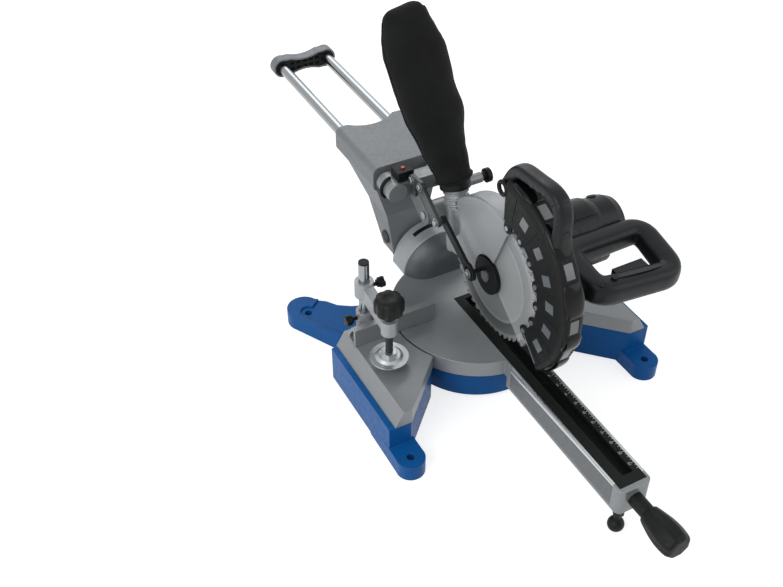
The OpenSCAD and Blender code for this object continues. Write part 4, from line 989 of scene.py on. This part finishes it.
@dataclass
class Grips(Assembly):
    """Carry handle, D-handle and mitre handle.

    The D-handle's loop, thickness and squareness are given at its four corners, from the near left one.
    """

    carry: tuple[Point, ...] = ((3, -65, 356), (3, -71, 372), (3, -88, 386.5), (3, -124, 391), (3, -152, 393),
                                (3, -169, 386.5), (3, -176.5, 370), (3, -178, 352), (3, -177.5, 333))
    carry_size: Pair = (19.5, 23.0)
    fingers: Pair = (0.24, 0.66)
    ridges: int = 17
    ridge: float = 1.5
    break_at: float = 0.62
    loop: tuple[Point, ...] = ((66, -191, 232), (193, -198, 223), (197, -112, 240), (66, -112, 240))
    corner: float = 24.0
    thick: tuple[float, ...] = (36.5, 34, 32.5, 35)
    square: tuple[float, ...] = (3.0, 3.2, 3.0, 3.8)
    pad_size: Pair = (15.0, 2.6)
    pad_run: Pair = (0.18, 0.64)
    pad_lift: Point = (0.0, 5.0, 17.2)
    recesses: tuple[tuple[Point, Axis, int], ...] = (
        ((69.0, -195.0, 249.6), Axis.Z, 1), ((3.0, -187.6, 352.0), Axis.Y, -1))
    recess: Outline = (
        (5.2, -0.6), (5.2, 0.5), (4.4, 0.7), (3.9, 0.2), (3.4, -0.4), (0.3, -0.4))
    mitre_at: Point = (0, -396.3, 68)
    mitre_outline: Outline = (
        (0.5, 0.3), (10.0, 0.3), (10.8, 1.2), (10.8, 24), (10.4, 26), (13.0, 27.5), (14.6, 30), (17.2, 41),
        (19.4, 53), (20.4, 63), (20.4, 72), (19.6, 80), (17.8, 85), (14.5, 87.4), (8.0, 88), (0.5, 88.1))

    def build(self) -> None:
        """Makes the three grips."""
        self.carry_handle()
        self.d_handle()
        self.inlay()
        self.mitre()

    def carry_handle(self) -> None:
        """Makes the carry handle on the hood."""
        path = smooth_path(self.carry, 24)
        count = len(path)

        def section(i: int, angle: float) -> Pair:
            """Gives the handle's section, with finger ridges underneath and a break line.

            Args:
                i: Place on the path.
                angle: Turn about the path.

            Returns:
                The offset to the side and upwards in millimetres.
            """
            t = i / (count - 1)
            first, last = self.fingers
            inside = math.sin(math.pi * (t - first) / (last - first)) if first < t < last else 0.0
            ridge = self.ridge * math.cos(2 * math.pi * self.ridges * t) * max(0.0, -math.cos(angle)) * inside
            foot = 1 + 0.2 * max(0.0, 1 - t / 0.1) + 0.14 * max(0.0, (t - 0.8) / 0.2) ** 2
            groove = 1 - 0.06 * math.exp(-((t - self.break_at) * count) ** 2)
            high, wide = (size * foot * groove for size in self.carry_size)
            rise, width = squircle(angle, high, wide, 3.4)
            return rise - ridge, width

        grip = Skin().add(loft(swept(path, section, Vector((1.0, 0.0, 0.0)), steps=32)))
        self.shop.piece("carry_grip", "head", Slot.GRIP, grip, ["carry_handle"], smooth=50)

    def d_handle(self) -> None:
        """Makes the D-handle beside the motor."""
        loop = rounded_loop(self.loop, self.corner)

        def bar(i: int, angle: float) -> Pair:
            """Gives the D-handle's section, round in the near bar and flat in the left one.

            Args:
                i: Place on the path.
                angle: Turn about the path.

            Returns:
                The offset to the side and upwards in millimetres.
            """
            at = loop[i][1] % 4
            k, t = int(at), at - int(at)
            size = self.thick[k] * (1 - t) + self.thick[(k + 1) % 4] * t
            power = self.square[k] * (1 - t) + self.square[(k + 1) % 4] * t
            return squircle(angle, size, size * 1.02, power)

        ring = loft(swept([p for p, _ in loop], bar, Vector((0, 0, 1)), True, 32), closed=True)
        self.shop.piece("d_grip", "head", Slot.GRIP, Skin().add(ring), ["d_handle"], smooth=50)

    def inlay(self) -> None:
        """Makes the soft inlay on the near bar and the screw recesses of both handles."""
        # Soft rubber, moulded with a coarse grain: dark grey without a highlight.
        rubber = Coated("moulded_soft_rubber", "#26292A", 0.7, tone="#303334", cloud=12, grain=1.6, depth=0.12,
                        rubbed="#4A4E50", rub=0.2).build()
        near, far = Vector(self.loop[0]), Vector(self.loop[1])
        start, run = self.pad_run
        steps = 30
        path = [near.lerp(far, start + run * i / steps) + Vector(self.pad_lift) for i in range(steps + 1)]

        def pad(i: int, angle: float) -> Pair:
            """Gives the pad's flat section, narrow at both ends."""
            ends = math.sin(math.pi * (0.03 + 0.94 * i / steps)) ** 0.3
            wide, high = self.pad_size
            return squircle(angle, wide * ends, high * ends)

        skin = Skin().add(loft(swept(path, pad, Vector((0, 0.36, 0.93)), steps=20)))
        self.shop.piece("d_grip_inlay", "head", Slot.BLACK, skin, material=rubber, smooth=50)
        holes = Skin()
        for at, axis, sign in self.recesses:
            holes.add(loft(turned([(r, sign * h) for r, h in self.recess], at, axis, 28)))
        self.shop.piece("grip_recesses", "head", Slot.BLACK, holes, smooth=40)

    def mitre(self) -> None:
        """Makes the screw handle at the front of the arm."""
        profile = smooth_path([(r, h, 0.0) for r, h in self.mitre_outline], 4)

        def flats(angle: float, h: float) -> float:
            """Gives the soft flats of the swelling part."""
            return 1 - 0.03 * math.cos(8 * angle) * min(1.0, max(0.0, (-h - 28) / 20))

        rings = turned(((p.x, -p.y) for p in profile), self.mitre_at, Axis.Y, 64, flats)
        self.shop.piece("mitre_grip", "mitre_handle", Slot.GRIP, Skin().add(loft(rings)), ["mitre_handle"],
                        self.shop.materials[Slot.BLACK], smooth=35)


@dataclass
class ArmScale(Assembly):
    """White ticks and numbers on the right strip of the arm insert, and the sides and lips of the arm in
    painted shade and painted highlight.
    """

    top: float = 90.0
    inner: float = 12.9
    outer: float = 21.1
    first: float = -140.0
    last: float = -372.0
    step: float = 5.0
    half: float = 25.0
    lip: float = 21.7
    panel: tuple[Point, Point] = ((-378.0, 51.0, 86.5), (-142.0, 51.0, 79.0))
    panel_half: float = 0.5
    ticks: Point = (3.4, 2.4, 1.6)
    tick_half: float = 0.35
    ink: float = 0.06
    digit: Pair = (1.7, 3.8)
    digit_gap: float = 0.7
    stroke: float = 0.6
    bars: tuple[str, ...] = ("abcdef", "bc", "abged", "abgcd", "fgbc", "afgcd", "afgedc", "abc", "abcdefg",
                             "abcdfg")

    def number(self, skin: Skin, value: int, x: float, y: float) -> None:
        """Adds one number from straight strokes.

        Args:
            skin: The mesh that it goes into.
            value: The number.
            x: Its left edge.
            y: Its lower edge.
        """
        w, h = self.digit
        half = self.stroke / 2
        lines = {"a": (0, h, w, h), "b": (w, h / 2, w, h), "c": (w, 0, w, h / 2), "d": (0, 0, w, 0),
                 "e": (0, 0, 0, h / 2), "f": (0, h / 2, 0, h), "g": (0, h / 2, w, h / 2)}
        for i, sign in enumerate(str(value)):
            left = x + i * (w + self.digit_gap)
            for key in self.bars[int(sign)]:
                x0, y0, x1, y1 = lines[key]
                skin.add(block((left + x0 - half, y + y0 - half, self.top),
                               (left + x1 + half, y + y1 + half, self.top + self.ink)))

    def build(self) -> None:
        """Makes the scale and the edges of the arm."""
        self.scale()
        self.edges()

    def scale(self) -> None:
        """Makes the ticks and the numbers."""
        # Screen-printed ink: flat white, a little worn.
        paint = Coated("screen_print_white", "#D8DADA", 0.5, tone="#C8CACA", cloud=8, grain=0.5, depth=0.005,
                       rubbed="#8A8C8C", rub=0.2).build()
        ticks, numbers = Skin(), Skin()
        count = round((self.first - self.last) / self.step)
        for i in range(count + 1):
            y = self.first - i * self.step
            long = self.ticks[0 if i % 4 == 0 else 1 if i % 2 == 0 else 2]
            ticks.add(block((self.outer - long, y - self.tick_half, self.top),
                            (self.outer, y + self.tick_half, self.top + self.ink)))
            if i % 4 == 0:
                self.number(numbers, i // 2, self.inner, y - self.digit[1] / 2)
        self.shop.piece("insert_ticks", "turntable", Slot.BLACK, ticks, material=paint)
        self.shop.piece("insert_numbers", "turntable", Slot.BLACK, numbers, material=paint)

    def edges(self) -> None:
        """Makes the side panels, darker as painted shade, and the lips above them, bright as a painted
        highlight.
        """
        # Die-cast aluminium under the lip, the same grey paint drawn darker: painted shade on the sides that
        # face away from the light.
        shade = Coated("arm_side_painted_shade", "#626669", 0.44, 0.3, tone="#73777A", cloud=60, grain=1.2,
                       depth=0.012, rubbed="#A4A8AA", rub=0.5).build()
        panels, lips = Skin(), Skin()
        (y0, low, z0), (y1, _, z1) = self.panel
        for sign in (-1, 1):
            corners = [(y0, low), (y1, low), (y1, z1), (y0, z0)]
            sides = (-self.panel_half, self.panel_half)
            panels.add(loft([[mm(sign * self.half + out, y, z) for y, z in corners] for out in sides]))
            half, top = self.half, self.top
            edge = [[(half + 0.4, z + 0.6), (half + 0.4, top - 1.2), (half - 0.8, top + 0.3),
                     (self.lip, top + 0.3), (self.lip, top - 0.5), (half - 0.5, top - 1.5),
                     (half - 0.5, z + 0.6)] for z in (z0, z1)]
            lips.add(loft([[mm(sign * x, y, z) for x, z in ring] for y, ring in zip((y0, y1), edge)]))
        # The lip of the same casting, drawn bright along its length: a painted highlight where the top edge
        # faces the light.
        lip_highlight = Drawn("lip_painted_highlight", "#D9DCDD", 0.3, 0.9, lines=(8.0, 0.6, 8.0), tone="#C2C6C8").build()
        self.shop.piece("arm_lips", "turntable", Slot.SILVER, lips, material=lip_highlight)
        # The side panels carry the painted shade.
        self.shop.piece("arm_panels", "turntable", Slot.GREY, panels, material=shade, bevel=0.6)


@dataclass
class Clamp(Assembly):
    """Fluted knob and threaded spindle of the hold-down clamp."""

    at: Point = (-175, -52, 0)
    knob_z: float = 190.0
    tip_z: float = 108.1
    radius: float = 5.5
    lead: float = 3.0
    thread_depth: float = 0.17
    thread_step: float = 0.5
    flutes: int = 8
    flute_depth: float = 0.085
    outline: Outline = (
        (5.8, -6), (12.2, -6), (12.6, -5.4), (12.6, -0.4), (17.5, 0.3), (20.2, 2.2), (21.4, 5), (21.5, 9),
        (21.5, 18), (20.8, 22), (18.6, 25), (14.0, 26.6), (8.0, 27), (6.4, 26.2), (0.5, 26.2))

    def build(self) -> None:
        """Makes the knob and the spindle."""

        def flutes(angle: float, h: float) -> float:
            """Gives the finger flutes round the knob."""
            inside = 1.0 if 0 < h < 25.5 else 0.0
            return 1 - self.flute_depth * inside * (0.5 + 0.5 * math.cos(self.flutes * angle)) ** 2

        x, y, _ = self.at
        knob = turned(self.outline, (x, y, self.knob_z), Axis.Z, 96, flutes)
        self.shop.piece("clamp_knob_fluted", "clamp_screw", Slot.BLACK, Skin().add(loft(knob)), ["clamp_knob"],
                        smooth=50)

        def thread(angle: float, h: float) -> float:
            """Gives the rolled thread, a two-start helix.

            Args:
                angle: Turn about the spindle.
                h: Height in millimetres.

            Returns:
                The factor on the radius.
            """
            if not self.tip_z + 12 < h < self.knob_z - 6.2:
                return 1.0
            turn = (h / self.lead - angle / math.pi) % 1.0
            return 1 - self.thread_depth * (1 - abs(2 * turn - 1)) ** 0.8

        steps = round((self.knob_z + 9 - self.tip_z) / self.thread_step)
        rod = [(self.radius, self.tip_z + self.thread_step * i) for i in range(steps + 1)]
        spindle = turned(rod, (x, y, 0), Axis.Z, 40, thread)
        # Rolled thread, blackened in a hot bath: dark with a dull metal shine.
        oxide = Drawn("black_oxide_steel", "#232627", 0.38, 0.7, lines=(0.7, 5.0, 5.0), tone="#343839").build()
        self.shop.piece("clamp_thread", "clamp_screw", Slot.STEEL, Skin().add(loft(spindle)), ["clamp_spindle"],
                        oxide, smooth=60)


@dataclass
class Hood(Assembly):
    """Trim of the black front hood and shells of the motor housing behind it."""

    centre: Point = (0, -79, 220)
    left: float = -14.55
    bead_r: float = 139.6
    bead_run: range = range(89, 224, 2)
    bead: Pair = (2.6, 2.2)
    seams: tuple[float, ...] = (99, 121.5, 141.5, 160, 180, 200.5, 218.5)
    seam_run: range = range(98, 141, 3)
    seam: Pair = (1.1, 1.2)
    lobes: Outline = ((90, 108), (120, 140), (152, 171), (183, 193.5), (204.5, 221))
    lobe: Pair = (10.5, 31.0)
    lobe_x: float = 2.8
    rim: float = 148.6
    lip_at: float = 223.2
    lip_run: range = range(92, 140, 4)
    lip: Pair = (1.6, 1.4)
    motor: Point = (0, -59.8, 226.6)
    shells: tuple[tuple[float, float, float, float], ...] = (
        (52, 118, 53, 142), (124, 168, 53, 136), (-20, 44, 53, 138))
    shell_r: float = 43.6
    shell: float = 4.6

    def build(self) -> None:
        """Makes the trim, the gloss lobes on the rim and the motor shells."""
        self.trim()
        self.rim_lobes()
        across = (1, 0, 0)
        lip = [about(self.centre, self.left + 0.2, r, self.lip_at) for r in self.lip_run]
        skin = Skin().add(strip(lip, *self.lip, across, 3.0))
        self.shop.piece("hood_lip", "head", Slot.STEEL, skin, smooth=50)
        shells = Skin()
        for a0, a1, x0, x1 in self.shells:
            path = [about(self.motor, (x0 + x1) / 2, self.shell_r, a0 + (a1 - a0) * i / 24) for i in range(25)]
            shells.add(strip(path, self.shell, x1 - x0, across, 5.0, 40))
        self.shop.piece("motor_shells", "head", Slot.GRIP, shells, smooth=40)

    def trim(self) -> None:
        """Makes the bead along the rim and the panel seams."""
        trim = Skin()
        rim = [about(self.centre, self.left + 0.5, self.bead_r, a) for a in self.bead_run]
        trim.add(strip(rim, *self.bead, (1, 0, 0)))
        for angle in self.seams:
            line = [about(self.centre, self.left + 0.1, r, angle) for r in self.seam_run]
            trim.add(strip(line, *self.seam, (1, 0, 0), steps=8))
        self.shop.piece("hood_beads", "head", Slot.BLACK, trim, smooth=60)

    def rim_lobes(self) -> None:
        """Makes the gloss lobes on the rim."""
        steps = 28
        wide, high = self.lobe

        def swell(i: int, angle: float) -> Pair:
            """Gives a lobe's section, rounded off at both ends."""
            ends = math.sin(math.pi * (0.02 + 0.96 * i / steps)) ** 0.35
            return squircle(angle, wide * ends, high * (0.55 + 0.45 * ends), 2.5)

        lobes = Skin()
        for a0, a1 in self.lobes:
            turns = (a0 + (a1 - a0) * i / steps for i in range(steps + 1))
            path = [about(self.centre, self.lobe_x, self.rim, a) for a in turns]
            lobes.add(loft(swept(path, swell, Vector((1, 0, 0)), steps=32)))
        # ABS from a polished mould: deep black that mirrors the lamps.
        gloss = Coated("gloss_abs_black", "#08090A", 0.12, tone="#0C0D0F", cloud=30, grain=2.0, depth=0.004,
                       rubbed="#2E3234", rub=0.2, constants=(("Specular IOR Level", 0.22),)).build()
        self.shop.piece("hood_lobes", "head", Slot.BLACK, lobes, material=gloss, smooth=60)


@dataclass
class Blade(Assembly):
    """Hard-metal tips of the blade.

    A corner of a tip is its depth below the rim and its turn in radians.
    """

    arbor: Point = (0, -45, 186)
    rim: float = 105.0
    teeth: int = 48
    half: float = 1.35
    tip: Outline = ((0.0, 0.0), (0.9, 0.02), (6.0, 0.012), (6.0, -0.006))

    def build(self) -> None:
        """Makes the tips."""
        tips = Skin()
        for i in range(self.teeth):
            turns = [(self.rim - depth, 2 * math.pi * i / self.teeth + turn) for depth, turn in self.tip]
            corners = [(self.arbor[1] + r * math.cos(a), self.arbor[2] + r * math.sin(a)) for r, a in turns]
            tips.add(loft([[mm(x, y, z) for y, z in corners] for x in (-self.half, self.half)]))
        self.shop.piece("blade_tips", "saw_spindle", Slot.STEEL, tips, bevel=0.1)


@dataclass
class Fittings(Assembly):
    """Small hardware: bolt heads and ear of the guard linkage, ribs of the dust port, bevel trunnion.

    A bolt is its body, its place, its radius and its number of sides.
    """

    bolts: tuple[tuple[str, Point, float, int], ...] = (
        ("slide", (-47.8, 116, 264), 5.6, 6), ("slide", (-47.8, 92, 266), 4.6, 24),
        ("slide", (-47.8, 43, 234), 5.4, 24), ("lower_guard", (-38.0, -34.6, 192), 4.6, 24))
    washer: float = 2.2
    ear: Point = (-42.1, 86.0, 218.0)
    ear_r: float = 15.4
    ear_run: range = range(105, 286, 12)
    ear_rear: Outline = ((127.0, 225.6), (146.0, 229.6), (146.0, 254.4), (108.0, 252.4))
    ear_thick: float = 1.6
    port: Point = (-3, 57, 240)
    port_lean: float = 17.0
    ribs: tuple[float, ...] = (6.0, 15.0, 24.0)
    rib_r: float = 17.4
    rib: Point = (3.6, 3.0, 3.0)
    chin: Outline = (
        (2, 17.6), (-8, 17.6), (-18, 17.4), (-28, 16.6), (-36, 14.4), (-42, 11), (-46, 8.6))
    wall: float = -10.4
    pivot_z: float = 90.0
    lift: float = 0.1
    dome_outline: Outline = (
        (0.5, 83.6), (14, 83.6), (28, 84), (40, 87.2), (48.5, 92.6), (54.4, 99.5), (58, 106), (59.6, 110),
        (59.9, 113))
    band_outline: Outline = (
        (58.0, 111.6), (60.2, 111.6), (61.2, 112.6), (61.2, 130), (61.2, 149.6), (58.0, 149.6))
    slot_y: float = 134.0
    slot_r: float = 61.2
    slot_run: range = range(86, 123, 2)
    slot: Pair = (1.2, 8.0)

    def build(self) -> None:
        """Makes the linkage's fittings, the port's ribs and the trunnion."""
        self.linkage()
        self.dust_port()
        self.trunnion()

    def linkage(self) -> None:
        """Makes the bolt heads and the sheet of the ear."""
        heads: dict[str, Skin] = {}
        for body, at, r, sides in self.bolts:
            skin = heads.setdefault(body, Skin())
            wide = r + self.washer
            skin.add(loft(turned(((wide, 0.0), (wide, -0.9), (0.4, -0.9)), at, Axis.X, 28)))
            skin.add(loft(turned(((r, -1.0), (r, -3.2), (r - 0.9, -4.0), (0.4, -4.2)), at, Axis.X, sides)))
        for body, skin in heads.items():
            self.shop.piece(f"{body}_bolt_heads", body, Slot.STEEL, skin, bevel=0.2, smooth=25)
        x = self.ear[0]
        rim = [tuple(about(self.ear, x, self.ear_r, a))[1:] for a in self.ear_run]
        sheet = loft([[mm(at, *p) for p in (*rim, *self.ear_rear)] for at in (x, x - self.ear_thick)])
        self.shop.piece("ear_sheet", "slide", Slot.DARK, Skin().add(sheet), bevel=0.3, smooth=35)

    def dust_port(self) -> None:
        """Makes the ribs of the dust port and the chin below it, which ends at the guard's wall."""
        lean = math.radians(self.port_lean)
        axis = Vector((0, math.sin(lean), math.cos(lean)))
        side, rear = Vector((1, 0, 0)), Vector((0, math.cos(lean), -math.sin(lean)))
        turns = [2 * math.pi * j / 48 for j in range(48)]

        def ring(h: float, r: float) -> list[Vector]:
            """Gives a circle round the port from its height and its radius."""
            return [Vector(self.port) + axis * h + (side * math.cos(a) + rear * math.sin(a)) * r for a in turns]

        skin = Skin()
        for h in self.ribs:
            rib = swept(ring(h, self.rib_r), lambda i, a: squircle(a, *self.rib), axis, True, 12)
            skin.add(loft(rib, closed=True))
        skin.add(loft([[mm(min(p.x, self.wall), p.y, p.z) for p in ring(h, r)] for h, r in self.chin]))
        self.shop.piece("port_ribs", "head", Slot.SILVER, skin, smooth=50)

    def trunnion(self) -> None:
        """Makes the dome and the band of the trunnion and the slot in the band; the band's paleness is partly a
        painted highlight and the slot is a black strip of painted shade.
        """
        half = [math.pi * j / 48 for j in range(49)]
        dome = [(p.x, p.y) for p in smooth_path([(r, y, 0.0) for r, y in self.dome_outline], 6)]
        z = self.pivot_z + self.lift
        # The band is paler than the dark dome: partly its own lighter grey paint, partly a painted highlight on
        # the trunnion's lit side.
        for name, slot, outline in (("trunnion_dome", Slot.DARK, dome),
                                    ("trunnion_band", Slot.GREY, self.band_outline)):
            rings = [[mm(r * math.cos(a), y, z + r * math.sin(a)) for a in half] for r, y in outline]
            self.shop.piece(name, "turntable", slot, Skin().add(loft(rings)), smooth=35)
        # The slot is a black strip laid on the band: painted shade that stands for its dark inside.
        turns = [math.radians(a) for a in self.slot_run]
        r = self.slot_r
        arc = [Vector((r * math.cos(a), self.slot_y, self.pivot_z + r * math.sin(a))) for a in turns]
        skin = Skin().add(strip(arc, *self.slot, (0, 1, 0), 4.0, 16))
        self.shop.piece("bevel_slot", "turntable", Slot.BLACK, skin, smooth=40)


def dress(frame: dict[str, Any], materials: dict[Slot, Material]) -> None:
    """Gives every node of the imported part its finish.

    Args:
        materials: A material for each slot.
    """
    slots = {part["node"]: Slot(part["material_slot"]) for part in frame["record"]["subparts"]}
    # Deep-drawn sheet, bright zinc with a matt skin: softer than the turned parts.
    pressed = Drawn("zinc_plated_sheet", "#B6BBBD", 0.36, 0.9, lines=(6.0, 6.0, 6.0), tone="#A2A7A9",
                    spread=0.08).build()
    # Cast iron, painted dark grey over the cast skin.
    cast = Coated("dark_painted_iron", "#2E3234", 0.4, 0.1, tone="#3A3F41", cloud=40, grain=1.2, depth=0.015,
                  rubbed="#7C8183", rub=0.4).build()
    # The same grey paint on the column and the rear bracket, drawn darker: painted shade.
    column_and_bracket_shade = Coated("column_and_bracket_painted_shade", "#74787B", 0.5, 0.2, tone="#808487", cloud=40, grain=1.2, depth=0.012,
                  rubbed="#C4C8CA", rub=0.5).build()
    own = {"clamp_pad": pressed, "hood_screws": pressed, "guard_strut": cast, "bevel_column": column_and_bracket_shade,
           "rear_bracket": column_and_bracket_shade}
    for name, node in frame["nodes"].items():
        node.data.materials.clear()
        node.data.materials.append(own.get(name, materials[slots[name]]))
        for face in node.data.polygons:
            face.use_smooth = True
        node.data.set_sharp_from_angle(angle=math.radians(32))
    log.info("%d nodes dressed", len(frame["nodes"]))


def main() -> None:
    """Loads the frame, dresses it and adds every piece."""
    logging.basicConfig(level=logging.INFO, format="%(name)s: %(message)s")
    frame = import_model()
    Studio().build()
    materials = {slot: finish.build() for slot, finish in FINISHES.items()}
    dress(frame, materials)
    shop = Workshop(materials)
    for assembly in (DustBag, Grips, ArmScale, Clamp, Hood, Blade, Fittings):
        assembly(shop).build()


if __name__ == "__main__":
    main()
